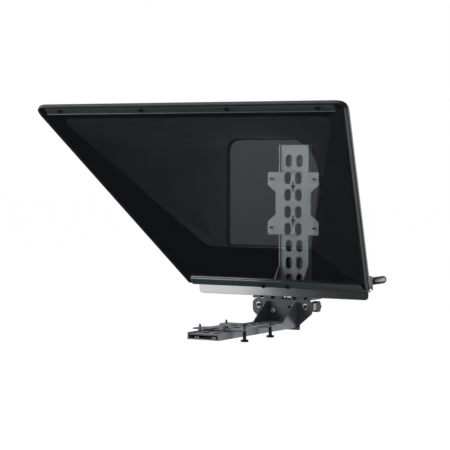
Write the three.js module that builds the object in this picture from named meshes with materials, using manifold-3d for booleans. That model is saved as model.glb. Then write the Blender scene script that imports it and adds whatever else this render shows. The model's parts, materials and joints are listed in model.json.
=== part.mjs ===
// Beam-splitter teleprompter: a glass tray leaning at 45 degrees over a slotted monitor arm,
// with a wedge-shaped hood behind the glass and a camera plate under it.
// Millimetres, +X across, +Y to the camera side, +Z up. The talent stands on the -Y side.
import * as THREE from "three";
import { mergeVertices } from "three/addons/utils/BufferGeometryUtils.js";
import Module from "manifold-3d";

const wasm = await Module();
wasm.setup();

// ---- driving dimensions -------------------------------------------------------------------

const CLEAR = 0.3; // gap left between two faces that rest on each other
const SHEET = 2.5; // thickness of the folded metal parts
const ROUND = 24; // sides of a turned part

// Glass tray, measured along its own slope from its bottom edge.
const TRAY_TILT = 135; // degrees about X from flat: the glass leans 45 degrees to the talent
const TRAY_TOP_HALF = 342;
const TRAY_BOTTOM_HALF = 207;
const TRAY_SLOPE = 516;
const TRAY_LOW = 7; // where the tray's bottom edge lies on the slope
const TRAY_BACK = -2.5;
const TRAY_FRONT = 6;
const TRAY_CORNER = 20;
const TRAY_BOTTOM_CORNER = 3;
const TRAY_EDGE = 1; // bevel of the tray's outer edge
const RIM_WIDTH = 8;
const TOP_RIM_WIDTH = 4;
const GLASS_THICKNESS = 3;
const GLASS_FRONT = 4.5;
const MASK_SIDE = 32; // width of the black mask beside the top of its cut-out
const MASK_HEAD = 35; // height of the mask above its cut-out
const MASK_FLOOR_MARGIN = 13; // how far the cut-out's bottom is wider than the lens opening
const MASK_BOTTOM = 117;
const MASK_CORNER = 22;

// Rails that clamp the glass.
const TOP_RAIL_END_GAP = 15; // from the rail's end to the pocket's side
const TOP_RAIL_HEIGHT = 14;
const TOP_RAIL_THICKNESS = 3;
const TOP_RAIL_LIP = 1.2;
const TOP_RAIL_LIP_HEIGHT = 3;
const TOP_RAIL_SCREW_INSET = 33.5;
const TOP_RAIL_SCREW_RISE = 9;
const BOTTOM_RAIL_END_GAP = 11;
const BOTTOM_RAIL_HEIGHT = 17.5;
const BOTTOM_RAIL_SHEET = 2.4;
const BOTTOM_RAIL_SCREW_HALF = 28;
const BOTTOM_RAIL_SCREW_RISE = 4.8;
const RAIL_SCREW_HEAD = 10.4;
const RAIL_SCREW_SHANK = 4;
const RAIL_SCREW_HEAD_HEIGHT = 2;

// Hood behind the glass and its rear opening.
const HOOD_WALL = 2.5;
const HOOD_FLANGE = 10;
const HOOD_REAR_Y = -22.4;
const HOOD_DRAW = 12; // how far its walls are drawn in half way back
const HOOD_WAIST_FRONT_RADIUS = 150;
const HOOD_WAIST_REAR_RADIUS = 80;
const HOOD_CUT_OVER = 0.04; // share of the hood's depth by which its hollow runs past both ends
const OPENING_HALF = 105;
const OPENING_BOTTOM = 86;
const OPENING_TOP = 299;
const OPENING_TOP_RADIUS = 27;
const OPENING_BOTTOM_RADIUS = 5;
const REAR_FRAME_LAP = 2; // how far the frame stands inside the hood's wall
const REAR_FRAME_WIDTH = 13;
const REAR_FRAME_THICKNESS = 4;
const REAR_SEAL_WIDTH = 6;
const REAR_SEAL_THICKNESS = 4;
const REAR_SCREW_HEAD = 5.5;
const REAR_SCREW_HEIGHT = 1.9;
const REAR_SCREW_HALF_PITCH = 60;

// Corner brackets and rods.
const BRACKET_SHEET = 3;
const BRACKET_REAR = 3;
const BRACKET_TOP = 28;
const BRACKET_OUTSIDE = 4; // from the rod's middle to the bracket's outer edge
const ROD_DIAMETER = 15;
const ROD_LENGTH = 48;
const ROD_CAP_LENGTH = 7;
const ROD_HEIGHT = 19;

// Camera plate.
const BASE_HALF = 196;
const BASE_DEPTH = 68;
const BASE_TOP = -2;
const BASE_FLANGE = 18;
const BASE_REAR_FLANGE = 10;
const BASE_REAR_HALF = 158; // the plate narrows towards its rear
const BASE_TAPER_START = 4; // from the ears' end to where it starts to narrow
const BASE_CORNER = 12;
const BASE_FOLD = 0.8; // rounding of the fold between the plate and its flange
const EAR_DEPTH = 9;
const EAR_SCREW_HEAD = 6;
const EAR_SCREW_HEIGHT = 2;
const CAMERA_SLOT_HALF = 30;
const CAMERA_SLOT_WIDTH = 6.9;
const CAMERA_SLOT_FROM_REAR = 9;
const CAMERA_SCREW = 6.2;
const CAMERA_HEAD = 11;
const CAMERA_HEAD_HEIGHT = 4;
const CAMERA_SCREW_REACH = 8; // how far the screw stands out of the plate

// Slotted rail, cross plate and mount block under the camera plate.
const RAIL_HALF = 69;
const RAIL_DEPTH = 42;
const RAIL_HEIGHT = 20.5;
const NOTCH_PITCH = 25.5;
const NOTCH_WIDTH = 9;
const NOTCH_HEIGHT = 5;
const NOTCH_DEPTH = 6;
const NOTCH_SHIFT = 3.8; // from the middle of the rail to its middle notch
const ARCH_X = 14.4; // middle of the arched gap that runs through under the rail
const ARCH_WIDTH = 12;
const ARCH_HEIGHT = 6.5;
const ARCH_LIP = 4; // depth of the arch before its recess widens
const ARCH_RECESS = 27; // how far the recess behind the arch reaches to the left
const CROSS_FRONT = 14;
const CROSS_THICKNESS = 3;
const CROSS_HALF = 69;
const CROSS_FOOT_HALF = 40;
const CROSS_LOBE = 27;
const CROSS_SHOULDER = 51;
const CROSS_HEIGHT = 61.5;
const CROSS_RETURN = 13;
const CROSS_RETURN_INSET = 6;
const CROSS_LOBE_RADIUS = 12;
const CROSS_SHOULDER_RADIUS = 4;
const CROSS_FOOT_RADIUS = 2;
const RING_BOLT_X = 54;
const RING_BOLT_DROP = 13.5;
const RING_BOLT = 6;
const RING_WASHER = 12;
const RING_WASHER_THICKNESS = 1.2;
const RING_HEAD = 8;
const RING_HEAD_HEIGHT = 3.4;
const RING_BOLT_OUT = 4; // how far the bolt's end stands out behind the cross plate
const PIVOT_FROM_CHEEK = 8; // from the pivot screw's head to the arm's left cheek
const PIVOT_SCREW_DROP = 23.5;
const PIVOT_SCREW_HEAD = 11;
const PIVOT_HEAD_HEIGHT = 3.4;
const PIVOT_SLOT_WIDTH = 1.6;
const PIVOT_SLOT_DEPTH = 1.4;
const PIVOT_SCREW_IN = 5; // how far the screw reaches into the mount block
const PIVOT_BORE_SPARE = 2; // how much deeper its bore is
const PIVOT_SCREW = 6;
const SPARE_HOLE_X = 18.5;
const SPARE_HOLE_DROP = 15.5;
const SPARE_HOLE = 6;
const BLOCK_HALF = 42;
const BLOCK_DEPTH = 41;
const BLOCK_HEIGHT = 24.5;
const BLOCK_BORE_HALF = 22;
const BLOCK_BORE_LARGE = 8.6;
const BLOCK_BORE_SMALL = 5.8;
const BLOCK_BORE_DEPTH = 12;
const KNOB_DIAMETER = 24;
const KNOB_LENGTH = 12;
const KNOB_FROM_REAR = 9.5; // from the block's rear face to the knob's axis
const KNOB_DROP = 15.2; // from the block's top face to the knob's axis
const KNOB_FLUTE = 0.06; // depth of the flutes, as a share of the radius
const KNOB_SHAFT = 8;
const KNOB_SHAFT_IN = 14;
const KNOB_REACH = 12;
const KNOB_LOBES = 6;

// Monitor arm.
const ARM_HALF = 34.5;
const ARM_FRONT = -295;
const ARM_TOP = -68.5;
const ARM_HEIGHT = 13.5;
const ARM_WEB_DROP = 2.5;
const ARM_SLOT_ROWS = 8;
const ARM_SLOT_PITCH = 34.9;
const ARM_SLOT_FIRST = -16.9;
const ARM_SLOT_X = 12.5;
const ARM_SLOT_WIDTH = 14.8;
const ARM_SLOT_LENGTH = 24.8;
const GUSSET_RUN = 59;
const GUSSET_RISE = 38.5;
const GUSSET_TOP_ROUND = 10;
const GUSSET_BEND_RUN = 36; // where the gusset's sloping edge turns, from the arm's rear end
const GUSSET_BEND_RISE = 17.7;
const GUSSET_BEND_RADIUS = 12;
const BACK_PLATE_RISE = 33;
const ARM_COVER = 2;
const ARM_COVER_SHORT = 16; // how far the cover stops short of the arm's rear end
const STUD_DIAMETER = 3.6;
const STUD_HEIGHT = 3.2;
const STUD_INSET = 9;
const STUD_FROM_SIDE = 13;
const STUD_PITCH = 5.5;

// Display plate on the arm, with the 100 x 100 mm hole pattern.
const VESA_PITCH = 100;
const VESA_CENTRE_Y = -174;
const VESA_SHEET = 2.5;
const VESA_HALF = 59.4;
const VESA_EAR = 27;
const VESA_OVERHANG = 14.5;
const VESA_WAIST_HALF = 41;
const VESA_WAIST_LENGTH = 46;
const VESA_HOLE = 4.8;
const VESA_CORNER = 4;
const VESA_WAIST_RADIUS = 3;
const VESA_TRAVEL = 8;
const VESA_SCREW_PITCH = 69.8;
const VESA_SCREW = 4;
const VESA_SCREW_HEAD = 7.4;
const VESA_SCREW_HEAD_HEIGHT = 2.3;
const VESA_SCREW_OUT = 4; // how far the screw reaches below the arm's web
const VESA_GUIDE_SPARE = 1; // extra length of the plate's guide slots
const VESA_NUT = 7;
const VESA_NUT_HEIGHT = 3;
const THUMB_SHANK = 4;
const THUMB_TIP = 6.5;
const THUMB_DISC = 15;
const THUMB_DISC_HEIGHT = 4;
const SPACER_DIAMETER = 6.8;
const SPACER_BORE = 4.8;
const SPACER_LENGTH = 16.2;

// ---- finishes -----------------------------------------------------------------------------

const finish = (color, roughness, metalness) => () =>
  new THREE.MeshStandardMaterial({ color, roughness, metalness });
const blackPlastic = finish(0x121317, 0.6, 0);
const blackPaint = finish(0x202528, 0.42, 0.3);
const greyPaint = finish(0x4a5254, 0.45, 0.4);
const railPaint = finish(0x2a3436, 0.35, 0.4);
const platePaint = finish(0x3a4042, 0.3, 0.5);
const steel = finish(0xb8bcbe, 0.3, 1);
const blackSteel = finish(0x17191b, 0.4, 0.7);
const foam = finish(0x0c0c0e, 0.95, 0);
const glassFinish = () => new THREE.MeshStandardMaterial({
  color: 0x8a9090, roughness: 0.02, metalness: 0, transparent: true, opacity: 0.35,
});

// ---- solid helpers ------------------------------------------------------------------------

/** Turns a closed geometry into a solid that can be joined and cut. */
function solid(geometry) {
  const bare = geometry.clone();
  bare.deleteAttribute("normal");
  bare.deleteAttribute("uv");
  const merged = mergeVertices(bare, 1e-4);
  return new wasm.Manifold(new wasm.Mesh({
    numProp: 3,
    vertProperties: new Float32Array(merged.attributes.position.array),
    triVerts: new Uint32Array(merged.index.array),
  }));
}

/** Turns a solid back into a geometry. */
function surface(body) {
  const mesh = body.getMesh();
  const geometry = new THREE.BufferGeometry();
  geometry.setAttribute("position", new THREE.BufferAttribute(mesh.vertProperties, 3));
  geometry.setIndex(new THREE.BufferAttribute(mesh.triVerts, 1));
  geometry.computeVertexNormals();
  return geometry;
}

/** A box between two values on each axis. */
function block(x0, x1, y0, y1, z0, z1) {
  const geometry = new THREE.BoxGeometry(x1 - x0, y1 - y0, z1 - z0);
  geometry.translate((x0 + x1) / 2, (y0 + y1) / 2, (z0 + z1) / 2);
  return solid(geometry);
}

/** A closed outline with rounded corners: points are [a, b, radius]. */
function outline(points) {
  const shape = new THREE.Shape();
  const count = points.length;
  points.forEach(([a, b, radius], i) => {
    const corner = new THREE.Vector2(a, b);
    if (!radius) {
      if (i) shape.lineTo(a, b);
      else shape.moveTo(a, b);
      return;
    }
    const last = points[(i + count - 1) % count];
    const next = points[(i + 1) % count];
    const back = new THREE.Vector2(last[0], last[1]).sub(corner);
    const ahead = new THREE.Vector2(next[0], next[1]).sub(corner);
    const half = Math.acos(back.clone().normalize().dot(ahead.clone().normalize())) / 2;
    const run = Math.min(radius / Math.tan(half), back.length() / 2.01, ahead.length() / 2.01);
    const start = corner.clone().add(back.setLength(run));
    const end = corner.clone().add(ahead.setLength(run));
    if (i) shape.lineTo(start.x, start.y);
    else shape.moveTo(start.x, start.y);
    shape.quadraticCurveTo(a, b, end.x, end.y);
  });
  shape.closePath();
  return shape;
}

/** Extrudes an outline drawn in X and Y along Z, from z0 to z1. */
function slab(shape, z0, z1, bevel = 0) {
  const geometry = new THREE.ExtrudeGeometry(shape, {
    depth: z1 - z0 - 2 * bevel,
    curveSegments: 5,
    bevelEnabled: bevel > 0,
    bevelThickness: bevel,
    bevelSize: bevel,
    bevelOffset: -bevel,
    bevelSegments: 2,
  });
  geometry.translate(0, 0, z0 + bevel);
  return geometry;
}

/** Extrudes an outline drawn in X and Z along Y, from y0 to y1. */
function slabAlongY(shape, y0, y1) {
  const geometry = slab(shape, -y1, -y0);
  geometry.rotateX(Math.PI / 2);
  return geometry;
}

/** Extrudes an outline drawn in Y and Z along X, from x0 to x1. */
function slabAlongX(shape, x0, x1) {
  const geometry = slab(shape, x0, x1);
  geometry.rotateY(Math.PI / 2);
  geometry.rotateX(Math.PI / 2);
  return geometry;
}

/** A turned part about an axis: profile is [radius, height] pairs that start and end on the axis. */
function turned(profile, axis, at, sides = ROUND) {
  const points = profile.map(([radius, height]) => new THREE.Vector2(radius, height));
  const geometry = new THREE.LatheGeometry(points, sides);
  if (axis === "z") geometry.rotateX(Math.PI / 2);
  if (axis === "x") geometry.rotateZ(-Math.PI / 2);
  geometry.translate(...at);
  return geometry;
}

/** A round bar or hole of one diameter, from height h0 to h1 along an axis. */
function bar(diameter, h0, h1, axis, at, sides = ROUND) {
  const r = diameter / 2;
  return turned([[0, h0], [r, h0], [r, h1], [0, h1]], axis, at, sides);
}

/** A long hole with round ends along X or Y, cut from z0 to z1. */
function longHole(cx, cy, length, width, z0, z1, along) {
  const shape = new THREE.Shape();
  const half = (length - width) / 2;
  const r = width / 2;
  shape.absarc(half, 0, r, -Math.PI / 2, Math.PI / 2, false);
  shape.absarc(-half, 0, r, Math.PI / 2, (3 * Math.PI) / 2, false);
  shape.closePath();
  const geometry = slab(shape, z0, z1);
  if (along === "y") geometry.rotateZ(Math.PI / 2);
  geometry.translate(cx, cy, 0);
  return solid(geometry);
}

function cutAll(body, tools) {
  return tools.reduce((left, tool) => left.subtract(tool), body);
}

function addAll(bodies) {
  return bodies.reduce((left, right) => left.add(right));
}

/** Adds one named part to a group. */
function place(group, name, shape, makeMaterial) {
  const geometry = shape.isBufferGeometry ? shape : surface(shape);
  const mesh = new THREE.Mesh(geometry, makeMaterial());
  mesh.name = name;
  group.add(mesh);
  return mesh;
}

const mirrored = (action) => [["left", -1], ["right", 1]].forEach(([side, sign]) => action(side, sign));

// ---- glass tray, in its own frame: X across, Y up the slope, Z out of the front ------------

const trayHalf = (slope) =>
  TRAY_BOTTOM_HALF + ((TRAY_TOP_HALF - TRAY_BOTTOM_HALF) * slope) / TRAY_SLOPE;

/** Four-sided outline that follows the tray's sides, set in by an inset. */
function trayOutline(low, high, inset, lowRadius, highRadius) {
  return outline([
    [-(trayHalf(low) - inset), low, lowRadius],
    [trayHalf(low) - inset, low, lowRadius],
    [trayHalf(high) - inset, high, highRadius],
    [-(trayHalf(high) - inset), high, highRadius],
  ]);
}

/** Corners of a four-sided opening, widened all round by `grow`. */
const openingCorners = (sizes, grow) => [
  [-(sizes.lowHalf + grow), sizes.low - grow, sizes.lowRadius],
  [sizes.lowHalf + grow, sizes.low - grow, sizes.lowRadius],
  [sizes.highHalf + grow, sizes.high + grow, sizes.highRadius],
  [-(sizes.highHalf + grow), sizes.high + grow, sizes.highRadius],
];

const maskTop = TRAY_SLOPE - MASK_HEAD;
const mask = {
  lowHalf: OPENING_HALF + MASK_FLOOR_MARGIN,
  highHalf: trayHalf(maskTop) - MASK_SIDE,
  low: MASK_BOTTOM,
  high: maskTop,
  lowRadius: MASK_CORNER,
  highRadius: MASK_CORNER,
};

const glassBack = GLASS_FRONT - GLASS_THICKNESS;
const pocketFloor = glassBack - CLEAR;
const railBack = GLASS_FRONT + CLEAR;
const topRailLow = TRAY_SLOPE - TOP_RIM_WIDTH - CLEAR - TOP_RAIL_HEIGHT;
const topRailHalf = trayHalf(topRailLow) - RIM_WIDTH - TOP_RAIL_END_GAP;
const bottomRailHalf = trayHalf(TRAY_LOW) - BOTTOM_RAIL_END_GAP;
const bottomRailTop = TRAY_LOW + BOTTOM_RAIL_HEIGHT;
const topScrewSlope = topRailLow + TOP_RAIL_SCREW_RISE;
const bottomScrewSlope = TRAY_LOW + BOTTOM_RAIL_SCREW_RISE;
const topScrewReach = topRailHalf - TOP_RAIL_SCREW_INSET;
const topScrewXs = [-1, -1 / 3, 1 / 3, 1].map((share) => share * topScrewReach);
const bottomScrewXs = [-BOTTOM_RAIL_SCREW_HALF, BOTTOM_RAIL_SCREW_HALF];
const bottomRailFront = TRAY_FRONT + CLEAR + BOTTOM_RAIL_SHEET;

const trayGroup = new THREE.Group();
trayGroup.rotation.x = THREE.MathUtils.degToRad(TRAY_TILT);

function makeTray() {
  const outer = solid(slab(
    trayOutline(TRAY_LOW, TRAY_SLOPE, 0, TRAY_BOTTOM_CORNER, TRAY_CORNER),
    TRAY_BACK, TRAY_FRONT, TRAY_EDGE,
  ));
  const pocket = solid(slab(
    trayOutline(
      TRAY_LOW + RIM_WIDTH, TRAY_SLOPE - TOP_RIM_WIDTH, RIM_WIDTH,
      TRAY_BOTTOM_CORNER, TRAY_CORNER - RIM_WIDTH,
    ),
    pocketFloor, TRAY_FRONT + 1,
  ));
  const cutOut = solid(slab(outline(openingCorners(mask, 0)), TRAY_BACK - 1, TRAY_FRONT));
  const topHoles = topScrewXs.map((x) => solid(
    bar(RAIL_SCREW_SHANK + 2 * CLEAR, TRAY_BACK - 1, TRAY_FRONT, "z", [x, topScrewSlope, 0], 12),
  ));
  const bottomHoles = bottomScrewXs.map((x) => solid(
    bar(RAIL_SCREW_SHANK + 2 * CLEAR, TRAY_BACK - 1, TRAY_FRONT + 1, "z", [x, bottomScrewSlope, 0], 12),
  ));
  return cutAll(outer, [pocket, cutOut, ...topHoles, ...bottomHoles]);
}

function makeGlass() {
  const inset = RIM_WIDTH + 2 * CLEAR;
  const top = TRAY_SLOPE - TOP_RIM_WIDTH - 2 * CLEAR;
  const sheet = solid(slab(
    trayOutline(TRAY_LOW + inset, top, inset, TRAY_BOTTOM_CORNER, TRAY_CORNER - RIM_WIDTH),
    glassBack, GLASS_FRONT,
  ));
  const holes = topScrewXs.map((x) => solid(
    bar(RAIL_SCREW_SHANK + 2 * CLEAR, glassBack - 1, GLASS_FRONT + 1, "z", [x, topScrewSlope, 0], 12),
  ));
  return cutAll(sheet, holes);
}

function makeTopRail() {
  const top = topRailLow + TOP_RAIL_HEIGHT;
  const front = railBack + TOP_RAIL_THICKNESS;
  const strip = block(-topRailHalf, topRailHalf, topRailLow, top, railBack, front);
  const lip = block(
    -topRailHalf, topRailHalf, topRailLow, topRailLow + TOP_RAIL_LIP_HEIGHT, railBack, front + TOP_RAIL_LIP,
  );
  const holes = topScrewXs.map((x) => solid(
    bar(RAIL_SCREW_SHANK + 2 * CLEAR, railBack - 1, front + 1, "z", [x, topScrewSlope, 0], 12),
  ));
  return cutAll(strip.add(lip), holes);
}

function makeBottomRail() {
  const face = block(
    -bottomRailHalf, bottomRailHalf, TRAY_LOW, bottomRailTop, TRAY_FRONT + CLEAR, bottomRailFront,
  );
  const shelf = block(
    -bottomRailHalf, bottomRailHalf, bottomRailTop - BOTTOM_RAIL_SHEET, bottomRailTop,
    railBack, bottomRailFront,
  );
  const holes = bottomScrewXs.map((x) => solid(
    bar(RAIL_SCREW_SHANK + 2 * CLEAR, TRAY_FRONT - 1, bottomRailFront + 1, "z", [x, bottomScrewSlope, 0], 12),
  ));
  return cutAll(face.add(shelf), holes);
}

/** Low round-head screw along Z whose head rests on height `seat`. */
function railScrew(x, slope, seat, end) {
  const r = RAIL_SCREW_SHANK / 2;
  const head = RAIL_SCREW_HEAD / 2;
  const low = seat + CLEAR;
  return turned([
    [0, end], [r, end], [r, low], [head, low],
    [head, low + RAIL_SCREW_HEAD_HEIGHT * 0.5],
    [head * 0.7, low + RAIL_SCREW_HEAD_HEIGHT], [0, low + RAIL_SCREW_HEAD_HEIGHT],
  ], "z", [x, slope, 0], 16);
}

place(trayGroup, "glass_tray", makeTray(), blackPlastic);
place(trayGroup, "beam_splitter_glass", makeGlass(), glassFinish);
place(trayGroup, "top_rail", makeTopRail(), railPaint);
place(trayGroup, "bottom_rail", makeBottomRail(), railPaint);
topScrewXs.forEach((x, i) => place(
  trayGroup, `top_rail_screw_${i + 1}`,
  railScrew(x, topScrewSlope, railBack + TOP_RAIL_THICKNESS, TRAY_BACK), blackSteel,
));
bottomScrewXs.forEach((x, i) => place(
  trayGroup, `bottom_rail_screw_${i + 1}`,
  railScrew(x, bottomScrewSlope, bottomRailFront, TRAY_BACK), blackSteel,
));

// ---- hood: a ruled shell from the mask's cut-out back to the upright rear opening ----------

const frame = new THREE.Group();
const tilt = THREE.MathUtils.degToRad(TRAY_TILT);

/** A point of the tray's own frame, in the main frame. */
const fromTray = (x, slope, out) => new THREE.Vector3(x, slope, out).applyAxisAngle(
  new THREE.Vector3(1, 0, 0), tilt,
);

/** Closed body through three rings of points, carried past both ends by a share of its depth. */
function loftedBody(front, waist, rear, over) {
  const count = front.length;
  const past = (ring, inner) => ring.map((p, i) => p.clone().lerp(inner[i], -2 * over));
  const rings = [past(front, waist), waist, past(rear, waist)];
  const positions = rings.flat().flatMap((p) => [p.x, p.y, p.z]);
  const index = [];
  for (let ring = 0; ring < 2; ring += 1) {
    const base = ring * count;
    for (let i = 0; i < count; i += 1) {
      const a = base + i;
      const b = base + ((i + 1) % count);
      index.push(a, b, count + b, a, count + b, count + a);
    }
  }
  const flat = front.map((p) => new THREE.Vector2(p.x, p.z));
  THREE.ShapeUtils.triangulateShape(flat, []).forEach(([a, b, c]) => {
    index.push(a, c, b);
    index.push(2 * count + a, 2 * count + b, 2 * count + c);
  });
  const geometry = new THREE.BufferGeometry();
  geometry.setAttribute("position", new THREE.BufferAttribute(new Float32Array(positions), 3));
  geometry.setIndex(index);
  const made = solid(geometry);
  if (made.volume() >= 0) return made;
  for (let k = 0; k < index.length; k += 3) [index[k], index[k + 1]] = [index[k + 1], index[k]];
  geometry.setIndex(index);
  return solid(geometry);
}

const opening = {
  lowHalf: OPENING_HALF,
  highHalf: OPENING_HALF,
  low: OPENING_BOTTOM,
  high: OPENING_TOP,
  lowRadius: OPENING_BOTTOM_RADIUS,
  highRadius: OPENING_TOP_RADIUS,
};

const hoodFrontOut = TRAY_BACK - CLEAR;
const frontRing = (sizes, grow) => outline(openingCorners(sizes, grow)).getPoints(6)
  .map((p) => fromTray(p.x, p.y, hoodFrontOut));
const rearRing = (sizes, grow) => outline(openingCorners(sizes, grow)).getPoints(6)
  .map((p) => new THREE.Vector3(p.x, HOOD_REAR_Y, p.y));

/** An opening with its sides and top drawn in and broad top corners. */
const drawnIn = (sizes, highRadius) => ({
  ...sizes, highHalf: sizes.highHalf - HOOD_DRAW, high: sizes.high - HOOD_DRAW, highRadius,
});

/** The hood's ring half way back, between the drawn-in front and rear. */
function waistRing(growFront, growRear) {
  const rear = openRing(rearRing(drawnIn(opening, HOOD_WAIST_REAR_RADIUS), growRear));
  return openRing(frontRing(drawnIn(mask, HOOD_WAIST_FRONT_RADIUS), growFront))
    .map((p, i) => p.clone().lerp(rear[i], 0.5));
}

/** Drops a repeated last point of a ring. */
const openRing = (ring) => (ring[0].distanceTo(ring[ring.length - 1]) < 1e-6 ? ring.slice(0, -1) : ring);

function makeHood() {
  const shell = (grow, over) => loftedBody(
    openRing(frontRing(mask, grow)), waistRing(grow, REAR_FRAME_LAP + grow),
    openRing(rearRing(opening, REAR_FRAME_LAP + grow)), over,
  );
  const inner = shell(0, HOOD_CUT_OVER);
  const outer = shell(HOOD_WALL, 0);
  const flange = slab(
    outline(openingCorners(mask, HOOD_FLANGE)), hoodFrontOut - HOOD_WALL, hoodFrontOut,
  );
  flange.rotateX(tilt);
  return outer.add(solid(flange)).subtract(inner);
}

function ringPlate(width, y0, y1) {
  const plate = solid(slabAlongY(outline(openingCorners(opening, width)), y0, y1));
  return plate.subtract(solid(slabAlongY(outline(openingCorners(opening, 0)), y0 - 1, y1 + 1)));
}

const rearFrameFront = HOOD_REAR_Y + CLEAR;
const rearFrameBack = rearFrameFront + REAR_FRAME_THICKNESS;
const rearSealFront = rearFrameBack + CLEAR;
const rearScrewOffset = (REAR_SEAL_WIDTH + REAR_FRAME_WIDTH) / 2;
const openingMiddle = (OPENING_BOTTOM + OPENING_TOP) / 2;
const rearScrewPlaces = [
  [-(OPENING_HALF + rearScrewOffset), openingMiddle - REAR_SCREW_HALF_PITCH],
  [OPENING_HALF + rearScrewOffset, openingMiddle - REAR_SCREW_HALF_PITCH],
  [OPENING_HALF + rearScrewOffset, openingMiddle + REAR_SCREW_HALF_PITCH],
  [-(OPENING_HALF + rearScrewOffset), openingMiddle + REAR_SCREW_HALF_PITCH],
];

place(frame, "hood_shell", makeHood(), blackPlastic);
place(frame, "rear_opening_frame", ringPlate(REAR_FRAME_WIDTH, rearFrameFront, rearFrameBack), blackPlastic);
const rearSealBack = rearSealFront + REAR_SEAL_THICKNESS;
place(frame, "rear_seal", ringPlate(REAR_SEAL_WIDTH, rearSealFront, rearSealBack), foam);
rearScrewPlaces.forEach(([x, z], i) => {
  const seat = rearFrameBack + CLEAR;
  const head = REAR_SCREW_HEAD / 2;
  const top = seat + REAR_SCREW_HEIGHT;
  const profile = [[0, seat], [head, seat], [head, (seat + top) / 2], [head * 0.6, top], [0, top]];
  place(frame, `rear_frame_screw_${i + 1}`, turned(profile, "y", [x, 0, z], 14), blackSteel);
});

// ---- corner brackets and rods --------------------------------------------------------------

// The bracket stands behind the tray; height of the tray's back face above the floor line at a depth.
const trayBackHeight = (y) => -TRAY_BACK * Math.SQRT2 - y;
const baseFront = CROSS_FRONT - CLEAR - SHEET; // the plate's flange hangs in front of the slotted rail
const earEnd = baseFront + EAR_DEPTH;
const bracketTabFront = BRACKET_REAR - BRACKET_SHEET;
const bracketTabLow = trayBackHeight(bracketTabFront) + 2 * CLEAR;
const bracketTailInner = BASE_HALF + CLEAR;
const bracketTailOuter = bracketTailInner + BRACKET_SHEET;
const rodX = bracketTailOuter + CLEAR + ROD_DIAMETER / 2;
const bracketOuter = rodX + BRACKET_OUTSIDE;

function makeBracket(sign) {
  const span = (a, b) => (sign > 0 ? [a, b] : [-b, -a]);
  const clearance = CLEAR * Math.SQRT2;
  const tip = trayBackHeight(BRACKET_TOP) + clearance;
  const gusset = slabAlongX(outline([
    [BRACKET_REAR, trayBackHeight(BRACKET_REAR) + clearance, 0],
    [BRACKET_REAR, BRACKET_TOP, 0],
    [tip, BRACKET_TOP, 0],
  ]), ...span(bracketOuter - BRACKET_SHEET, bracketOuter));
  const tab = block(
    ...span(bracketTailInner, bracketOuter), bracketTabFront, BRACKET_REAR, bracketTabLow, BRACKET_TOP,
  );
  const tail = block(
    ...span(bracketTailInner, bracketTailOuter), bracketTabFront, earEnd, bracketTabLow, BRACKET_TOP,
  );
  return addAll([solid(gusset), tab, tail]);
}

mirrored((side, sign) => {
  place(frame, `corner_bracket_${side}`, makeBracket(sign), greyPaint);
  const start = BRACKET_REAR + CLEAR;
  const end = start + ROD_LENGTH;
  place(frame, `rod_${side}`, bar(ROD_DIAMETER, start, end, "y", [sign * rodX, 0, ROD_HEIGHT]), steel);
  const capEnd = end + CLEAR + ROD_CAP_LENGTH;
  const r = ROD_DIAMETER / 2;
  place(frame, `rod_cap_${side}`, turned([
    [0, end + CLEAR], [r, end + CLEAR], [r, capEnd - 4], [r * 0.86, capEnd - 1.6],
    [r * 0.5, capEnd - 0.3], [0, capEnd],
  ], "y", [sign * rodX, 0, ROD_HEIGHT]), blackSteel);
});

// ---- camera plate --------------------------------------------------------------------------

const baseRear = baseFront + BASE_DEPTH;
const baseUnder = BASE_TOP - SHEET;
const railFront = CROSS_FRONT;
const railTop = baseUnder - CLEAR;
const railLow = railTop - RAIL_HEIGHT;
const earScrewY = (baseFront + earEnd) / 2;
const cameraSlotY = baseRear - CAMERA_SLOT_FROM_REAR;

function makeBase() {
  const flange = solid(slabAlongY(outline([
    [-BASE_HALF, BASE_TOP, BASE_FOLD], [-BASE_HALF, BASE_TOP - BASE_FLANGE, BASE_CORNER],
    [BASE_HALF, BASE_TOP - BASE_FLANGE, BASE_CORNER], [BASE_HALF, BASE_TOP, BASE_FOLD],
  ]), baseFront, baseFront + SHEET));
  const taper = earEnd + BASE_TAPER_START;
  const top = solid(slab(outline([
    [-BASE_HALF, baseFront + 1, 0], [BASE_HALF, baseFront + 1, 0], [BASE_HALF, taper, 0],
    [BASE_REAR_HALF, baseRear, 0], [-BASE_REAR_HALF, baseRear, 0], [-BASE_HALF, taper, 0],
  ]), baseUnder, BASE_TOP));
  const rear = block(
    -BASE_REAR_HALF, BASE_REAR_HALF, baseRear - SHEET, baseRear, BASE_TOP - BASE_REAR_FLANGE, BASE_TOP,
  );
  const ears = [-1, 1].map((sign) => {
    const [x0, x1] = sign > 0 ? [BASE_HALF - SHEET, BASE_HALF] : [-BASE_HALF, -BASE_HALF + SHEET];
    return block(x0, x1, baseFront + 0.5, earEnd, baseUnder, BRACKET_TOP);
  });
  const slot = longHole(
    0, cameraSlotY, 2 * CAMERA_SLOT_HALF, CAMERA_SLOT_WIDTH, baseUnder - 1, BASE_TOP + 1, "x",
  );
  return addAll([flange, top, rear, ...ears]).subtract(slot);
}

function makeCameraScrew() {
  const r = CAMERA_SCREW / 2;
  const head = CAMERA_HEAD / 2;
  const seat = baseUnder - CLEAR;
  const low = seat - CAMERA_HEAD_HEIGHT;
  const tip = BASE_TOP + CAMERA_SCREW_REACH;
  return turned([
    [0, low], [head * 0.9, low], [head, low + head * 0.1], [head, seat], [r, seat],
    [r, tip - r * 0.3], [r * 0.7, tip], [0, tip],
  ], "z", [0, cameraSlotY, 0]);
}

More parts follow.
